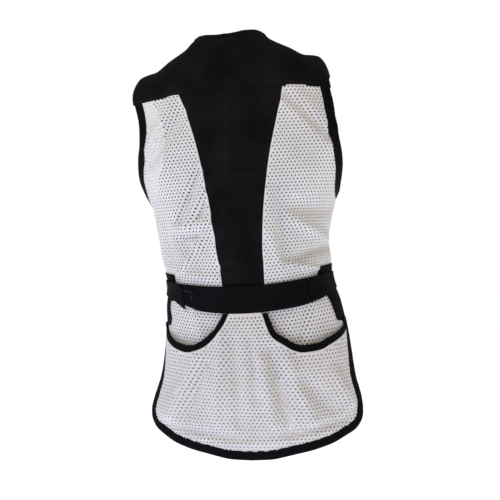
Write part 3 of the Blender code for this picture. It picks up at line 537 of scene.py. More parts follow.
# Thread lighter than the black cloth, so the topstitching shows as a painted highlight.
HIGHLIGHT_THREAD = woven("thread_painted_highlight_look", Cloth(
    (0.012, 0.012, 0.013), (0.024, 0.024, 0.025), 0.0004, 1.0, 0.6, 0.00005, 0.15, 0.02))
ZIPTAPE = woven("zip_tape_look", Cloth(
    (0.004, 0.004, 0.004), (0.008, 0.008, 0.008), 0.0006, 0.0, 0.8, 0.00008, 0.05, 0.02))
KNIT = woven("mesh_look", Cloth(
    (0.735, 0.725, 0.695), (0.835, 0.825, 0.795), 0.0008, 0.3, 0.75, 0.0001, 0.2, 0.1))
METAL = node_material("zip_metal_look", (0.02, 0.02, 0.021), 0.4, 0.25, 0.7)


class ArcTable:
    """Arc lengths round a form at each height, both ways, for laying the mesh cloth's lattice."""

    REACH = 0.62 * math.pi

    def __init__(self, form):
        self.z = np.linspace(-0.79, -0.1, 139)
        self.angle = np.linspace(-self.REACH, self.REACH, 601)
        rows = []
        for level in self.z:
            line = form(self.angle, level)
            steps = np.linalg.norm(np.diff(line[:, :2], axis=0), axis=1)
            length = np.concatenate([[0], np.cumsum(steps)])
            rows.append(length - length[len(self.angle) // 2])
        self.arc = np.array(rows)

    def look_up(self, value, z, from_rows, to_rows):
        value, z = np.broadcast_arrays(np.asarray(value, float), np.asarray(z, float))
        flat = value.ravel()
        row = np.clip((z.ravel() - self.z[0]) / (self.z[1] - self.z[0]), 0, len(self.z) - 1.001)
        low = row.astype(int)
        part = row - low
        found = np.empty(len(flat))
        for level in np.unique(low):
            pick = low == level
            first = np.interp(flat[pick], from_rows(level), to_rows(level))
            second = np.interp(flat[pick], from_rows(level + 1), to_rows(level + 1))
            found[pick] = lerp(first, second, part[pick])
        return found.reshape(value.shape)

    def arc_of(self, angle, z):
        return self.look_up(angle, z, lambda level: self.angle, lambda level: self.arc[level])

    def angle_of(self, arc, z):
        return self.look_up(arc, z, lambda level: self.arc[level], lambda level: self.angle)


BODY_ARCS = ArcTable(ring_raw)
TAIL_ARCS = ArcTable(tail_raw)


def signed_distance(points, outline):
    """Distance of (n, 2) points inside a closed outline (positive) or outside it (negative)."""
    best = np.full(len(points), 1e9)
    inside = np.zeros(len(points), bool)
    for (ax, ay), (rx, ry) in zip(outline, np.roll(outline, -1, 0) - outline):
        px, py = points[:, 0] - ax, points[:, 1] - ay
        share = np.clip((px * rx + py * ry) / max(rx * rx + ry * ry, 1e-18), 0, 1)
        best = np.minimum(best, np.hypot(px - rx * share, py - ry * share))
        if ry != 0:
            meets = (ay > points[:, 1]) != (ay + ry > points[:, 1])
            inside ^= meets & (px < rx * py / ry)
    return np.where(inside, best, -best)


# The mesh cloth: one hexagonal cell per hole, with rows offset by half a pitch
PITCH_X = 0.007
PITCH_Z = 0.0059
HOLE = 0.00152
HOLE_MARGIN = 0.0012
MESH_WALL = 0.0009


def lattice(outline):
    """Points and faces of a holed cloth clipped to a closed (arc, z) outline."""
    low, high = outline.min(0), outline.max(0)
    columns = range(math.floor(low[0] / PITCH_X) - 1, math.ceil(high[0] / PITCH_X) + 2)
    rows = range(math.floor(low[1] / PITCH_Z) - 1, math.ceil(high[1] / PITCH_Z) + 2)
    centres = np.array([((c + 0.5 * (r % 2)) * PITCH_X, r * PITCH_Z) for r in rows for c in columns])
    third = PITCH_Z / 3
    half = PITCH_X / 2
    corners = np.array([
        (half, -third), (half, third), (0.0, 2 * third), (-half, third), (-half, -third), (0.0, -2 * third),
    ])
    turn = np.radians([-30, 30, 90, 150, 210, 270])
    hole = np.stack([np.cos(turn), np.sin(turn)], 1) * HOLE
    reach = signed_distance(centres, outline)
    near = reach > -PITCH_X
    points, faces, lookup = [], [], {}

    def vertex(place):
        key = (round(place[0] * 1e6), round(place[1] * 1e6))
        if key not in lookup:
            lookup[key] = len(points)
            points.append(place)
        return lookup[key]

    for centre, depth in zip(centres[near], reach[near]):
        rim = [vertex(tuple(centre + corner)) for corner in corners]
        if depth > HOLE + HOLE_MARGIN:
            inner = [vertex(tuple(centre + corner)) for corner in hole]
            faces += [(rim[k - 1], rim[k], inner[k], inner[k - 1]) for k in range(6)]
        else:
            middle = vertex(tuple(centre))
            faces += [(rim[k - 1], rim[k], middle) for k in range(6)]
    return clipped(points, faces, signed_distance(np.array(points), outline))


def clipped(points, faces, depth):
    """Keeps the part of the faces where depth is not below zero."""
    points = list(points)
    cut = {}
    kept = []

    def crossing(first, second):
        a, b = sorted((first, second))
        if (a, b) not in cut:
            share = depth[a] / (depth[a] - depth[b])
            cut[a, b] = len(points)
            points.append(tuple(lerp(np.array(points[a]), np.array(points[b]), share)))
        return cut[a, b]

    for face in faces:
        loop = []
        for v, after in zip(face, face[1:] + face[:1]):
            if depth[v] >= 0:
                loop.append(v)
            if (depth[v] >= 0) != (depth[after] >= 0):
                loop.append(crossing(v, after))
        if len(loop) >= 3:
            kept.append(tuple(loop))
    used = sorted({v for face in kept for v in face})
    order = {v: i for i, v in enumerate(used)}
    return np.array([points[v] for v in used]), [tuple(order[v] for v in face) for face in kept]


FLAT_ALLOWANCE = 0.0002


def finish_piece(thing, node, cut=None):
    """Rides the piece on the vest, lets it stand for its node, and works out a sheet's flat size from its
    cut.
    """
    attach(thing, "vest")
    if node:
        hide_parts(node)
    if cut:
        size, area = cut
        flat = tuple(round(float(length) + FLAT_ALLOWANCE, 4) for length in size)


def flat_area(corners):
    """Area inside a closed line of flat points."""
    after = np.roll(corners, -1, 0)
    return abs((corners[:, 0] * after[:, 1] - after[:, 0] * corners[:, 1]).sum()) / 2


def mesh_cloth(name, node, line, form, arcs, out, folds):
    """A holed cloth panel whose outline is a closed line of (angle, z) places."""
    outline = np.stack([arcs.arc_of(line[:, 0], line[:, 1]), line[:, 1]], 1)
    flat, faces = lattice(outline)
    angle = arcs.angle_of(flat[:, 0], flat[:, 1])
    stand = out(angle, flat[:, 1]) if callable(out) else out
    thing = new_object(name, form(angle, flat[:, 1], stand, folds), faces, KNIT, 60.0)
    thicken(thing, MESH_WALL)
    laid_area = sum(face.area for face in thing.data.polygons)
    bulge = laid_area / sum(flat_area(flat[list(face)]) for face in faces)
    size = (outline.max(0) - outline.min(0)) * math.sqrt(bulge)
    finish_piece(thing, node, (size, flat_area(outline) * bulge))


def cloth_grid(name, node, material, lines, size, thickness, form=ring, out=0.0, folds=()):
    """A wall between two lines, each giving (angle, z) for a share; size is columns by rows."""
    low, high = lines
    columns, rows = size
    up = np.linspace(0, 1, rows + 1)[:, None]
    across = np.linspace(0, 1, columns + 1)[None, :]
    (a0, z0), (a1, z1) = low(up), high(up)
    angle = lerp(a0, a1, across)
    z = lerp(z0, z1, across)
    points = form(angle, z, out(angle, z) if callable(out) else out, folds)
    thing = wall_from_grid(name, points, thickness, material)
    finish_piece(thing, node, measured(points))


def measured(points):
    """The width, height and area of a grid of cloth, along its surface."""
    width = np.linalg.norm(np.diff(points, axis=1), axis=-1).sum(1).max()
    height = np.linalg.norm(np.diff(points, axis=0), axis=-1).sum(0).max()
    first = points[1:, 1:] - points[:-1, :-1]
    second = points[1:, :-1] - points[:-1, 1:]
    return (width, height), np.linalg.norm(np.cross(first, second), axis=-1).sum() / 2


# Lines of the pattern, as arrays of (angle, z)
def joined(*parts):
    """One closed outline from several (angle array, z array) runs, without doubled points."""
    points = np.concatenate([np.stack(np.broadcast_arrays(*part), 1) for part in parts])
    return points[np.linalg.norm(points - np.roll(points, 1, 0), axis=1) > 1e-7]


def centre_edge(z):
    return angle_at(centre_half_width(z), z)


def back_mesh_outline(side):
    """Up the centre panel's seam, across the yoke's seam, down the armhole and the side seam."""
    z = np.linspace(WAIST_Z, ARCH_Z, 60)
    armhole = back_armhole(np.linspace(1, 0, 90))
    top = np.linspace(centre_edge(ARCH_Z), armhole[0][0], 20)
    seam = np.linspace(UNDERARM_Z, WAIST_Z, 40)
    foot = np.linspace(SIDE, centre_edge(WAIST_Z), 30)
    return joined((centre_edge(z), z), (top, ARCH_Z), armhole, (SIDE, seam), (foot, WAIST_Z)) * [side, 1]


def pouch_top_z(degrees):
    return np.where(degrees > 0, pouch_top_left(degrees), pouch_top_right(-degrees))


def tail_outline(top):
    """Round the tail: the hem from right to left, then the top line back."""
    degrees = np.linspace(-TAIL_DEG, TAIL_DEG, 201)
    back = degrees[::-1]
    return joined((np.radians(degrees), tail_hem_z(np.abs(degrees))), (np.radians(back), top(back)))


TAIL_TAPE_DEG = 4.5
TAIL_TAPE_COVER = 0.006


def pouch_out(angle, z):
    degrees = np.abs(np.degrees(angle))
    share = np.minimum(degrees / (TAIL_DEG - TAIL_TAPE_DEG), 1.0)
    inset = z - tail_hem_z(np.minimum(degrees, TAIL_DEG)) - TAIL_TAPE_COVER
    depth = lerp(POUCH_EDGE_DEPTH, pouch_depth(z), ease(inset / FOLD_INSET))
    return lerp(depth, POUCH_EDGE_DEPTH, share**2.5)


def line_frame(form, first, second, out, *folds):
    """Stations along a line of a form: the points, and the outward normals."""
    step = 1e-4
    run = form(first + step, second, 0.0, *folds) - form(first - step, second, 0.0, *folds)
    rise = form(first, second + step, 0.0, *folds) - form(first, second - step, 0.0, *folds)
    return form(first, second, out, *folds), unit(np.cross(rise, run))


def resampled(points, normal, pitch):
    """Points and normals at even steps along a line."""
    length = np.concatenate([[0], np.cumsum(np.linalg.norm(np.diff(points, axis=0), axis=1))])
    target = np.linspace(0, length[-1], max(4, int(round(length[-1] / pitch))) + 1)
    at, facing = (
        np.stack([np.interp(target, length, values[:, k]) for k in range(3)], 1)
        for values in (points, normal)
    )
    return at, unit(facing)


STITCH_PITCH = 0.0032
STITCH_LENGTH = 0.0024
STITCH_WIDTH = 0.00055
STITCH_LIFT = 0.00022
STITCHES = []


def stitch_line(points, normal):
    """Thread stitches laid along a line, gathered for one mesh."""
    points, normal = resampled(points, normal, STITCH_PITCH)
    along = unit(np.gradient(points, axis=0))
    side = np.cross(normal, along)
    for p, n, t, b in zip(points, normal, along, side):
        STITCHES.append((p, t * STITCH_LENGTH / 2, b * STITCH_WIDTH / 2, n * STITCH_LIFT))


STITCH_FACES = (
    (0, 2, 6), (0, 6, 7), (0, 7, 3), (1, 5, 9), (1, 9, 8), (1, 8, 4),
    (2, 4, 8, 6), (3, 7, 9, 5), (6, 8, 9, 7), (0, 3, 5, 4, 2), (1, 4, 5),
)


def build_stitches(name):
    """All stitches as one mesh: each a flat-topped lozenge of thread, pointed at both ends, in a lighter
    colour that paints a highlight on them.
    """
    corners, faces = [], []
    for p, t, b, lift in STITCHES:
        faces += [[len(corners) + k for k in face] for face in STITCH_FACES]
        low, high = p - lift * 0.6, p + lift
        near, far = t * 0.6, b * 0.5
        corners += [
            low - t, low + t, low - b - near, low + b - near, low - b + near, low + b + near,
            high - near - far, high - near + far, high + near - far, high + near + far,
        ]
    return facing_out(new_object(name, np.array(corners), faces, HIGHLIGHT_THREAD, 60.0))


# Back: mesh panels with real holes, the twill centre panel, the inner skirt and the pouch
for side, name in SIDES:
    outline = back_mesh_outline(side)
    mesh_cloth("mesh_back_" + name, "back_mesh_" + name, outline, ring, BODY_ARCS, -0.0002, BACK_FOLDS)
skirt = tail_outline(lambda degrees: WAIST_Z + 0 * degrees)
mesh_cloth("mesh_skirt", "inner_skirt", skirt, tail, TAIL_ARCS, -0.0003, SKIRT_FOLDS)
mesh_cloth("mesh_pouch", "pouch_panel", tail_outline(pouch_top_z), tail, TAIL_ARCS, pouch_out, POUCH_FOLDS)


MEAN_RADIUS = 0.13


def uneven(amount, scale, seed):
    """Small unevenness of cloth, as a distance outward at an angle and height."""
    return lambda angle, z: amount * smooth_noise(angle * MEAN_RADIUS, z, scale, seed)


def centre_line(side):
    def line(share):
        z = lerp(WAIST_Z, ARCH_Z, share)
        return side * centre_edge(z), z

    return line


TWILL_WALL = 0.0014
cloth_grid(
    "twill_back", "back_centre_panel", TWILL, (centre_line(-1), centre_line(1)), (40, 120),
    TWILL_WALL, out=uneven(0.0004, 0.05, 3), folds=BACK_FOLDS,
)
for side in (1, -1):
    z = np.linspace(WAIST_Z + 0.03, ARCH_Z - 0.002, 80)
    for inset in (0.0018, 0.0062):
        x = centre_half_width(z) - inset
        stitch_line(*line_frame(ring, side * angle_at(x, z), z, 0.0003, BACK_FOLDS))


# Fronts
# Length of the front armhole, and the share of the inner edge where the neckline starts
ARMHOLE_LENGTH = 0.23
NECKLINE_START = 0.87


def front_outer(share):
    """The side vent and seam, then the armhole."""
    length = UNDERARM_Z - FRONT_HEM_Z
    part = length / (length + ARMHOLE_LENGTH)
    angle, height = front_armhole(np.clip((share - part) / (1 - part), 0, 1))
    low = share <= part
    straight = lerp(FRONT_HEM_Z, UNDERARM_Z, np.minimum(share / part, 1))
    return np.where(low, SIDE, angle), np.where(low, straight, height)


def front_inner(share):
    """The zip edge, then the neckline up to the yoke."""
    low = share <= NECKLINE_START
    up = np.clip((share - NECKLINE_START) / (1 - NECKLINE_START), 0, 1)
    rise = np.minimum(share / NECKLINE_START, 1)
    edge = lerp(FRONT_HEM_Z + FRONT_HEM_RISE, NECK_POINT_Z, rise)
    z = np.where(low, edge, lerp(NECK_POINT_Z, ARCH_Z, up))
    x = np.where(low, FRONT_EDGE, lerp(FRONT_EDGE, YOKE_FRONT_INNER, up**NECKLINE_BOW))
    return angle_at(x, z, True), z


def mirrored(line):
    def other(share):
        angle, z = line(share)
        return -angle, z

    return other


for name, side, lines in (
    ("left", 1, (front_outer, front_inner)),
    ("right", -1, (mirrored(front_inner), mirrored(front_outer))),
):
    cloth_grid(
        "twill_front_" + name, "front_" + name, TWILL, lines, (60, 170), TWILL_WALL,
        out=uneven(0.0005, 0.07, 11), folds=FRONT_FOLDS,
    )
    z = np.linspace(FRONT_HEM_Z + 0.008, NECK_POINT_Z, 160)
    for x in (0.0065, 0.02):
        stitch_line(*line_frame(ring, side * angle_at(x, z, True), z, 0.0004, FRONT_FOLDS))
    angle = np.linspace(math.radians(SIDE_DEG + 2), math.radians(177.5), 90)
    for rise in (0.0035, 0.016):
        z = FRONT_HEM_Z + FRONT_HEM_RISE + rise + 0 * angle
        stitch_line(*line_frame(ring, side * angle, z, 0.0004, FRONT_FOLDS))


# Yoke
LIP = 0.022
FRONT_LIP = 0.05
NECK_POWER = 2.4
YOKE_TURN_IN = 0.0045
YOKE_TURN_LIFT = 0.0009
YOKE_STITCH_ROW = 0.0058
YOKE_STITCH_DIP = 0.0003
YOKE_EDGE_SOFT = 0.0012
YOKE_FLAT = (0.42, 0.37)


def neck_turn(x):
    """How far round the arch the neck edge lies, x from the middle."""
    share = np.minimum(np.abs(x) / NECK_HALF_WIDTH, 1.0)
    deep = NECK_BACK * (1 - share**NECK_POWER) ** (1 / NECK_POWER)
    foot = back_depth(ARCH_Z) * across_arch(x) - RIDGE_Y
    return np.arccos(np.clip(deep / foot, 0, 1) ** (ARCH_POWER / 2))


def yoke_grids():
    """The yoke in (x, turn): behind the neck, and over each shoulder."""
    up = np.linspace(0, 1, 37)[:, None]
    across = np.linspace(0, 1, 49)[None, :]
    x = NECK_HALF_WIDTH * np.sin(np.pi / 2 * (2 * across - 1))
    yield x + 0 * up, lerp(-LIP, neck_turn(x), up)
    across = 1 - (1 - np.linspace(0, 1, 61)[None, :]) ** 1.6
    inner = lerp(NECK_HALF_WIDTH, YOKE_FRONT_INNER, up)
    outer = lerp(YOKE_HALF_WIDTH, YOKE_FRONT_OUTER, ease(up))
    for side in (1, -1):
        x = side * lerp(NECK_HALF_WIDTH, YOKE_HALF_WIDTH, across) + 0 * up
        yield x, lerp(-LIP, np.pi / 2, up) + 0 * across
        x = side * lerp(inner, outer, across)
        yield x, lerp(np.pi / 2, np.pi + FRONT_LIP, up) + 0 * across


def yoke_out(x, turn):
    """A turned-under edge along the seams, a stitched dip above it, and small unevenness."""
    height = np.minimum(turn, np.pi - turn) * LIP_SCALE
    edge = YOKE_TURN_LIFT * (1 - ease((height - YOKE_TURN_IN) / YOKE_EDGE_SOFT))
    dip = -YOKE_STITCH_DIP * bump(height - YOKE_STITCH_ROW, YOKE_EDGE_SOFT)
    return edge + dip + 0.0004 * smooth_noise(x, turn * 0.1, 0.06, 21)


def build_yoke():
    """The yoke's grids joined along their shared edges into one cloth with a wall."""
    whole = bmesh.new()
    for x, turn in yoke_grids():
        points = arch(x, turn, yoke_out(x, turn))
        rows, columns = x.shape
        verts = [[whole.verts.new(points[r, c]) for c in range(columns)] for r in range(rows)]
        for r in range(rows - 1):
            for c in range(columns - 1):
                whole.faces.new((verts[r][c], verts[r][c + 1], verts[r + 1][c + 1], verts[r + 1][c]))
    bmesh.ops.remove_doubles(whole, verts=whole.verts, dist=2e-5)
    bmesh.ops.recalc_face_normals(whole, faces=whole.faces)
    highest = max(whole.faces, key=lambda face: face.calc_center_median().z)
    if highest.normal.z < 0:
        bmesh.ops.reverse_faces(whole, faces=whole.faces)
    mesh = bpy.data.meshes.new("twill_yoke")
    whole.to_mesh(mesh)
    area = sum(face.calc_area() for face in whole.faces)
    whole.free()
    mesh.materials.append(TWILL)
    mesh.shade_smooth()
    thing = add_object("twill_yoke", mesh)
    thicken(thing, TWILL_WALL)
    finish_piece(thing, "yoke", (YOKE_FLAT, area))


build_yoke()
x = np.linspace(-0.172, 0.172, 130)
for turn in (0.03, 0.055):
    stitch_line(*line_frame(arch, x, turn + 0 * x, 0.0008 if turn < 0.04 else 0.0001))
for side in (1, -1):
    x = side * np.linspace(0.054, 0.166, 50)
    stitch_line(*line_frame(arch, x, np.pi - 0.055 + 0 * x, 0.0001))


# Bindings: the tapes' width and thickness when folded, and how far they reach in from the cloth's edge
ARMHOLE_TAPE = (0.014, 0.004)
NECK_TAPE = (0.0085, 0.0034)
TAIL_TAPE = (0.011, 0.0072)
POUCH_TAPE = (0.012, 0.0024)
TAPE_COVER = 0.0014
ARMHOLE_COVER = 0.005
TAPE_FOLD_STEPS = 8
TAPE_PITCH = 0.0028
TAPE_STITCH_IN = 0.0018
PUCKERS = 0.05


def tape_outline(inner, width, thickness):
    """A folded tape in section: open side towards the cloth, rounded fold on the outside."""
    half = thickness / 2
    near = lerp(inner, width, 0.25)
    outline = [(inner, -half * 0.86), (near, -half)]
    for k in range(TAPE_FOLD_STEPS + 1):
        turn = -math.pi / 2 + math.pi * k / TAPE_FOLD_STEPS
        outline.append((width + half * 1.3 * (math.cos(turn) - 1), half * math.sin(turn)))
    return np.array(outline + [(near, half), (inner, half * 0.86)])


def binding(name, stations, flip, tape, inner=-TAPE_COVER, widths=None):
    """A folded tape along a cloth edge, with a row of stitches on both faces."""
    width, thickness = tape
    points, normal = resampled(*stations, TAPE_PITCH)
    along = np.gradient(points, axis=0)
    side = unit(np.cross(normal, along) * flip)
    up = unit(np.cross(along, side) * flip)
    count = len(points)
    share = np.linspace(0, 1, count)
    inner = inner(share) if callable(inner) else np.full(count, inner)
    wide = widths(share) if widths else np.ones(count)
    ripple = 1 + PUCKERS * np.sin(share * count * 0.9) * (0.5 + 0.5 * np.sin(share * 37 + 1))
    outlines = np.stack([tape_outline(i, width * w, thickness) for i, w in zip(inner, wide)])
    outlines[:, :, 1] *= ripple[:, None]
    edge, _, place = name.partition("_")
    node = edge + "_binding" + ("_" + place if place else "")
    finish_piece(sweep("tape_" + name, points, side, up, outlines, TAPE), node)
    row = points + side * (inner + TAPE_STITCH_IN)[:, None]
    for face in (1, -1):
        stitch_line(row + up * (thickness * 0.5 * face), up * face)


# The tapes lie round the middle of the cloth's wall
MIDDLE = -0.0008


def run_together(*runs):
    """Runs of (points, normals) joined end to end."""
    return tuple(np.concatenate([run[k] for run in runs]) for k in (0, 1))


for side, name in SIDES:
    runs = (
        (back_armhole(np.linspace(1, 0, 90)), BACK_FOLDS),
        (front_armhole(np.linspace(0, 1, 90)[1:]), FRONT_FOLDS),
    )
    stations = run_together(*(
        line_frame(ring, side * angle, np.minimum(z, ARCH_Z - 0.0012), MIDDLE, folds)
        for (angle, z), folds in runs
    ))
    binding("armhole_" + name, stations, -side, ARMHOLE_TAPE, -ARMHOLE_COVER)


def half_neck(side):
    """From the top of the zip up one neckline and round to the centre back."""
    share = np.linspace(0, 1, 50)[:-1]
    z = lerp(NECK_POINT_Z, ARCH_Z, share)
    x = lerp(FRONT_EDGE, YOKE_FRONT_INNER, share**NECKLINE_BOW)
    turn = np.pi - np.pi / 2 * np.linspace(0.01, 1, 60)[:-1]
    strap = lerp(NECK_HALF_WIDTH, YOKE_FRONT_INNER, turn / (np.pi / 2) - 1)
    nape = NECK_HALF_WIDTH * np.sin(np.pi / 2 * np.linspace(0.985, 0, 40))
    return run_together(
        line_frame(ring, side * angle_at(x, z, True), z, MIDDLE, FRONT_FOLDS),
        line_frame(arch, side * strap, turn, MIDDLE),
        line_frame(arch, side * nape, neck_turn(nape), MIDDLE),
    )


left_neck, right_neck = half_neck(1), half_neck(-1)
stations = run_together(left_neck, [values[-2::-1] for values in right_neck])
binding(
    "neck", stations, 1, NECK_TAPE,
    widths=lambda share: lerp(0.45, 1.0, np.clip(np.minimum(share, 1 - share) / 0.03, 0, 1)),
)

side_z = np.linspace(TAIL_TOP_Z + 0.006, tail_hem_z(TAIL_DEG), 40)[:-1]
degrees = np.linspace(TAIL_DEG, -TAIL_DEG, 240)
edge = np.full(len(side_z), TAIL_DEG)
angle = np.radians(np.concatenate([edge, degrees, -edge]))
z = np.concatenate([side_z, tail_hem_z(np.abs(degrees)), side_z[::-1]])
HEM_COVER = 0.006
RIGHT_SIDE_COVER, LEFT_SIDE_COVER = 0.0095, 0.004
TOP_COVER = 0.002
SIDE_SHARE = 0.16
TOP_SHARE = 0.034


def tail_inner(share):
    """The tail's tape reaches further in up its two sides, over the corners of the pouch."""
    from_end = np.minimum(share, 1 - share)
    side_cover = lerp(RIGHT_SIDE_COVER, LEFT_SIDE_COVER, ease((share - 0.4) / 0.2))
    sides = side_cover * (1 - ease((from_end - SIDE_SHARE) / 0.1))
    return -HEM_COVER - sides - TOP_COVER * (1 - ease(from_end / TOP_SHARE))


stations = line_frame(tail, angle, z, (POUCH_EDGE_DEPTH - 0.0012) / 2)
binding("tail", stations, -1, TAIL_TAPE, tail_inner)

for side, name in SIDES:
    degrees = np.linspace(SCOOP_DEG + 0.35, TAIL_DEG - 0.6, 120)
    angle = side * np.radians(degrees)
    z = pouch_top_z(side * degrees)
    points = tail(angle, z, pouch_out(angle, z) - 0.0008, POUCH_FOLDS)
    normal = line_frame(tail, angle, z, 0.0, POUCH_FOLDS)[1]
    binding(
        "pouch_" + name, (points, normal), -side, POUCH_TAPE,
        widths=lambda share: 0.8 + 0.3 * np.sin(np.pi * share),
    )

# Belt, tabs and patches: their lower edges as (degrees, z), and the ends of the tabs as (share up, degrees)
BAND_BOTTOM = curve((
    (-98, -0.4865), (-64, -0.4885), (-58, -0.4945), (-42, -0.5008), (-27, -0.5034), (0, -0.5045),
    (10, -0.5045), (28, -0.5023), (36.7, -0.4975), (50.6, -0.4905), (61, -0.4855), (98, -0.4845),
))
LEFT_TAB_BOTTOM = curve((
    (38, -0.5032), (41, -0.5012), (50.6, -0.4918), (60.5, -0.4856), (98, -0.4848),
))
RIGHT_TAB_BOTTOM = curve((
    (-98, -0.487), (-64, -0.489), (-58, -0.495), (-47, -0.499), (-42, -0.5003),
))
LEFT_TAB_END = curve(((0, 40), (0.35, 42.7), (0.8, 45.2), (0.93, 46.4), (1, 49)))
RIGHT_TAB_END = curve((
    (0, -48.5), (0.1, -45.6), (0.45, -43.4), (0.8, -45.4), (0.93, -47.6), (1, -50.5),
))
EDGE_ROW = 0.0035
EDGE_GROOVE = 0.0003
EDGE_ROUNDING = 0.0005


def belt_line(degrees):
    """The end of a belt piece, up from its lower edge; degrees may be a function of the share."""

    def line(share):
        at = degrees(share) if callable(degrees) else degrees + 0 * share
        return np.radians(at), share

    return line


def belt_form(bottom, layer):
    """A form whose second coordinate is the share of the belt's height; it takes no folds."""

    def form(angle, share, out=0.0, folds=()):
        low = bottom(np.degrees(angle))
        edge = np.minimum(share, 1 - share) * (BELT_TOP - low)
        groove = -EDGE_GROOVE * bump(edge - EDGE_ROW, 0.001)
        groove = groove - EDGE_ROUNDING * (1 - ease(edge / 0.003))
        wave = uneven(0.0003, 0.05, 31)(angle, share * 0.05)
        return ring(angle, lerp(low, BELT_TOP, share), layer(angle) + groove + wave + out)

    return form


def tab_layer(angle):
    start, end = TAB_STEP
    return lerp(TAB_OUT, TAB_OUT_SIDE, ease((np.abs(np.degrees(angle)) - start) / (end - start)))


BAND = belt_form(BAND_BOTTOM, lambda angle: BELT_OUT + 0 * angle)
LEFT_TAB = belt_form(LEFT_TAB_BOTTOM, tab_layer)
RIGHT_TAB = belt_form(RIGHT_TAB_BOTTOM, tab_layer)
GAP_DEG = math.degrees(0.0004 / MEAN_RADIUS)
BELT_PIECES = (
    ("band_centre", "centre", BELT, BAND, BELT_SEAM_RIGHT, BELT_SEAM_LEFT, 60),
    ("band_side_left", "side_left", BELT, BAND, BELT_SEAM_LEFT + GAP_DEG, BELT_SIDE_END, 50),
    ("band_side_right", "side_right", BELT, BAND, -BELT_SIDE_END, BELT_SEAM_RIGHT - GAP_DEG, 44),
    # The left tab wears the lighter strap look, which paints light on it.
    ("strap_left", "tab_left", LIT_STRAP, LEFT_TAB, LEFT_TAB_END, TAB_SIDE_END, 70),
    ("strap_right", "tab_right", BELT, RIGHT_TAB, -TAB_SIDE_END, RIGHT_TAB_END, 66),
)
for name, node, material, form, low, high, columns in BELT_PIECES:
    lines = belt_line(low), belt_line(high)
    cloth_grid("belt_" + name, "belt_" + node, material, lines, (columns, 30), 0.002, form)
    for share in (0.08, 0.92):
        ends = [float(line(share)[0]) for line in lines]
        angle = np.linspace(ends[0] + 0.02, ends[1] - 0.02, 70)
        stitch_line(*line_frame(form, angle, share + 0 * angle, 0.0001))

# The hook pad on the belt, which shows beyond the left tab, with its two braided edges, whose lighter
# bluish colour is a painted highlight
PAD_TOP, PAD_BOTTOM = 0.72, 0.32
PAD_OUT = 0.0007
BRAID_OUT = 0.0008
BRAID_SECTION = np.array([(-0.0014, -0.0001), (-0.0011, 0.0003), (0.0011, 0.0003), (0.0014, -0.0001)])


def pad_edge(degrees, slant):
    return lambda share: (np.radians(degrees - slant * share), lerp(PAD_BOTTOM, PAD_TOP, share))


pad_lines = pad_edge(35.6, 1.2), pad_edge(52.0, 0.0)
cloth_grid("belt_pad", None, BELT, pad_lines, (24, 14), 0.0007, BAND, PAD_OUT)
over = np.radians(np.linspace(46.5, 34.5, 40))
down = np.radians(np.linspace(34.6, 35.8, 40))
braid = run_together(
    line_frame(BAND, over, PAD_TOP - 0.02 + 0 * over, BRAID_OUT),
    line_frame(BAND, down, np.linspace(PAD_TOP - 0.04, PAD_BOTTOM, 40), BRAID_OUT),
)
points, normal = resampled(*braid, 0.0012)
side = unit(np.cross(normal, np.gradient(points, axis=0)))
sections = np.repeat(BRAID_SECTION[None], len(points), 0)
finish_piece(sweep("belt_pad_edge", points, side, normal, sections, PAD_EDGE_HIGHLIGHT), None)

# Patches at the side seams, as (degrees, z) of the back edge from the bottom up
PATCH_BACKS = {
    "left": (
        (80, -0.541), (66, -0.5384), (62.5, -0.5251), (65, -0.515), (66.5, -0.496), (57, -0.488),
        (55.6, -0.453), (54.6, -0.4405),
    ),
    "right": (
        (80, -0.541), (69.5, -0.5384), (67.6, -0.5251), (66.3, -0.515), (64, -0.4985),
        (59.5, -0.488), (58.3, -0.453), (58.5, -0.4405),
    ),
}
for name, rows in PATCH_BACKS.items():
    back = rail(rows)

    def front(share, back=back):
        return np.radians(PATCH_FRONT_DEG) + 0 * share, back(share)[1]

    lines = (back, front) if name == "left" else (mirrored(front), mirrored(back))
    cloth_grid(
        "belt_base_" + name, "side_patch_" + name, BELT, lines, (40, 60), 0.0013,
        out=PATCH_OUT,
    )


# Zip
def zip_line(x):
    def line(share):
        z = lerp(ZIP_BOTTOM, ZIP_TOP, share)
        turned = angle_at(abs(x), z, True)
        return (turned if x > 0 else 2 * np.pi - turned), z

    return line


for name, low, high in (("left", 0.0154, 0.0029), ("right", -0.0029, -0.0154)):
    lines = zip_line(low), zip_line(high)
    cloth_grid(
        "zip_band_" + name, "zip_tape_" + name, ZIPTAPE, lines, (4, 150), 0.001,
        out=-0.0026, folds=FRONT_FOLDS,
    )

TOOTH_PITCH = 0.0013
TOOTH_HALF = 0.001
TOOTH_SHARE = 0.42
TOOTH_FACES = ((0, 1, 3, 2), (4, 6, 7, 5), (0, 4, 5, 1), (2, 3, 7, 6), (0, 2, 6, 4), (1, 5, 7, 3))
TOOTH_ENDS = ((-1, 0.0027, 0.9), (1, 0.0027, 0.9), (-1, -0.001, 0.6), (1, -0.001, 0.6))


def build_teeth():
    """Interlocking teeth down the chain, alternately from each side."""
    count = int((ZIP_TOP - ZIP_BOTTOM) / TOOTH_PITCH)
    z = ZIP_TOP - TOOTH_PITCH * (np.arange(count) + 0.5)
    at, normal = line_frame(ring, np.full(count, np.pi), z, -0.003, FRONT_FOLDS)
    along = unit(np.gradient(at, axis=0))
    corners, faces = [], []
    for k in range(count):
        across = np.cross(normal[k], along[k]) * (1 if k % 2 else -1)
        faces += [[len(corners) + i for i in face] for face in TOOTH_FACES]
        for n, reach, tall in TOOTH_ENDS:
            for t in (-1, 1):
                rise = along[k] * t * TOOTH_PITCH * TOOTH_SHARE * tall
                corners.append(at[k] + across * reach + normal[k] * n * TOOTH_HALF + rise)
    return facing_out(new_object("zip_teeth", np.array(corners), faces, METAL, 30.0))


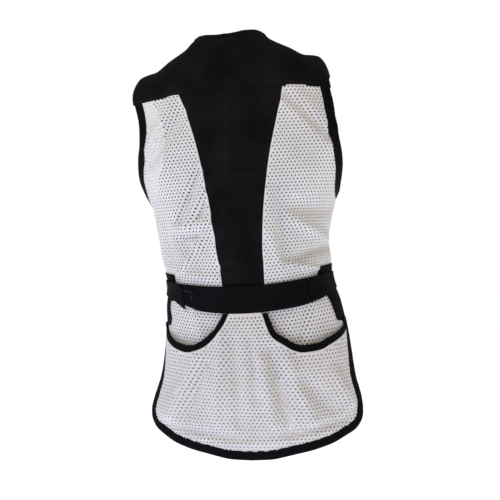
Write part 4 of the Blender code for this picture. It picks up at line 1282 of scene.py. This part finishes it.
finish_piece(build_teeth(), "zip_chain")
for name in ("zip_slider", "zip_bridge", "zip_pull"):
    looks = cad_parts[name].data.materials
    looks.clear()
    looks.append(METAL)
finish_piece(build_stitches("stitching"), None)

# Stage, lights and camera
FLOOR_Z = -1.05
FLOOR_REACH = 9.0
floor_material = node_material("pale_floor", (0.9, 0.9, 0.9), 0.9)
floor_shader = floor_material.node_tree.nodes["Principled BSDF"]
set_inputs(floor_shader, {"Emission Color": (0.84, 0.88, 1.0, 1.0), "Emission Strength": 0.95})
corners = [(x * FLOOR_REACH, y * FLOOR_REACH, FLOOR_Z) for x, y in ((-1, -1), (1, -1), (1, 1), (-1, 1))]
new_object("floor", corners, [(0, 1, 2, 3)], floor_material)

# The world lights the vest dimly, and is white where the camera sees it
world = bpy.data.worlds.new("studio")
bpy.context.scene.world = world
world.use_nodes = True
tree = world.node_tree
ambient = tree.nodes["Background"]
set_inputs(ambient, {"Color": (0.8, 0.82, 1.0, 1.0), "Strength": 0.28})
backdrop = tree.nodes.new("ShaderNodeBackground")
set_inputs(backdrop, {"Color": (1.0, 1.0, 1.0, 1.0)})
mix = tree.nodes.new("ShaderNodeMixShader")
path = tree.nodes.new("ShaderNodeLightPath")
tree.links.new(path.outputs["Is Camera Ray"], mix.inputs[0])
tree.links.new(ambient.outputs[0], mix.inputs[1])
tree.links.new(backdrop.outputs[0], mix.inputs[2])
tree.links.new(mix.outputs[0], tree.nodes["World Output"].inputs["Surface"])


def aim(thing, place, direction):
    thing.location = place
    thing.rotation_mode = "QUATERNION"
    thing.rotation_quaternion = direction.to_track_quat("-Z", "Y")


LIGHT_TARGET = Vector((0, 0.1, -0.4))
for name, place, size, power, colour in (
    ("key", (1.4, 0.85, 1.2), 0.4, 16.0, (1.0, 0.91, 0.74)),
    ("fill", (-1.7, 1.2, 1.3), 0.5, 14.5, (1.0, 0.76, 0.4)),
    ("bounce", (0.6, 1.3, -1.0), 0.4, 3.6, (0.34, 0.43, 1.0)),
):
    lamp = bpy.data.lights.new(name, "AREA")
    lamp.size = size
    lamp.energy = power
    lamp.color = colour
    aim(add_object(name, lamp), place, LIGHT_TARGET - Vector(place))

AZIMUTH = math.radians(189)
DISTANCE = 1.9
EYE_Z = -0.375
FOCAL_PX = 1010.6
IMAGE_PX = 500
SENSOR_MM = 36.0
ROLL = math.radians(-3.4)
optics = bpy.data.cameras.new("camera")
optics.sensor_width = SENSOR_MM
optics.lens = SENSOR_MM * FOCAL_PX / IMAGE_PX
optics.shift_y = -0.02
camera = add_object("camera", optics)
away = Vector((math.sin(AZIMUTH), -math.cos(AZIMUTH), 0.0))
aim(camera, away * DISTANCE + Vector((0, 0, EYE_Z)), -away)
camera.rotation_quaternion @= Quaternion((0, 0, 1), ROLL)
bpy.context.scene.camera = camera
bpy.context.scene.view_settings.view_transform = "Standard"
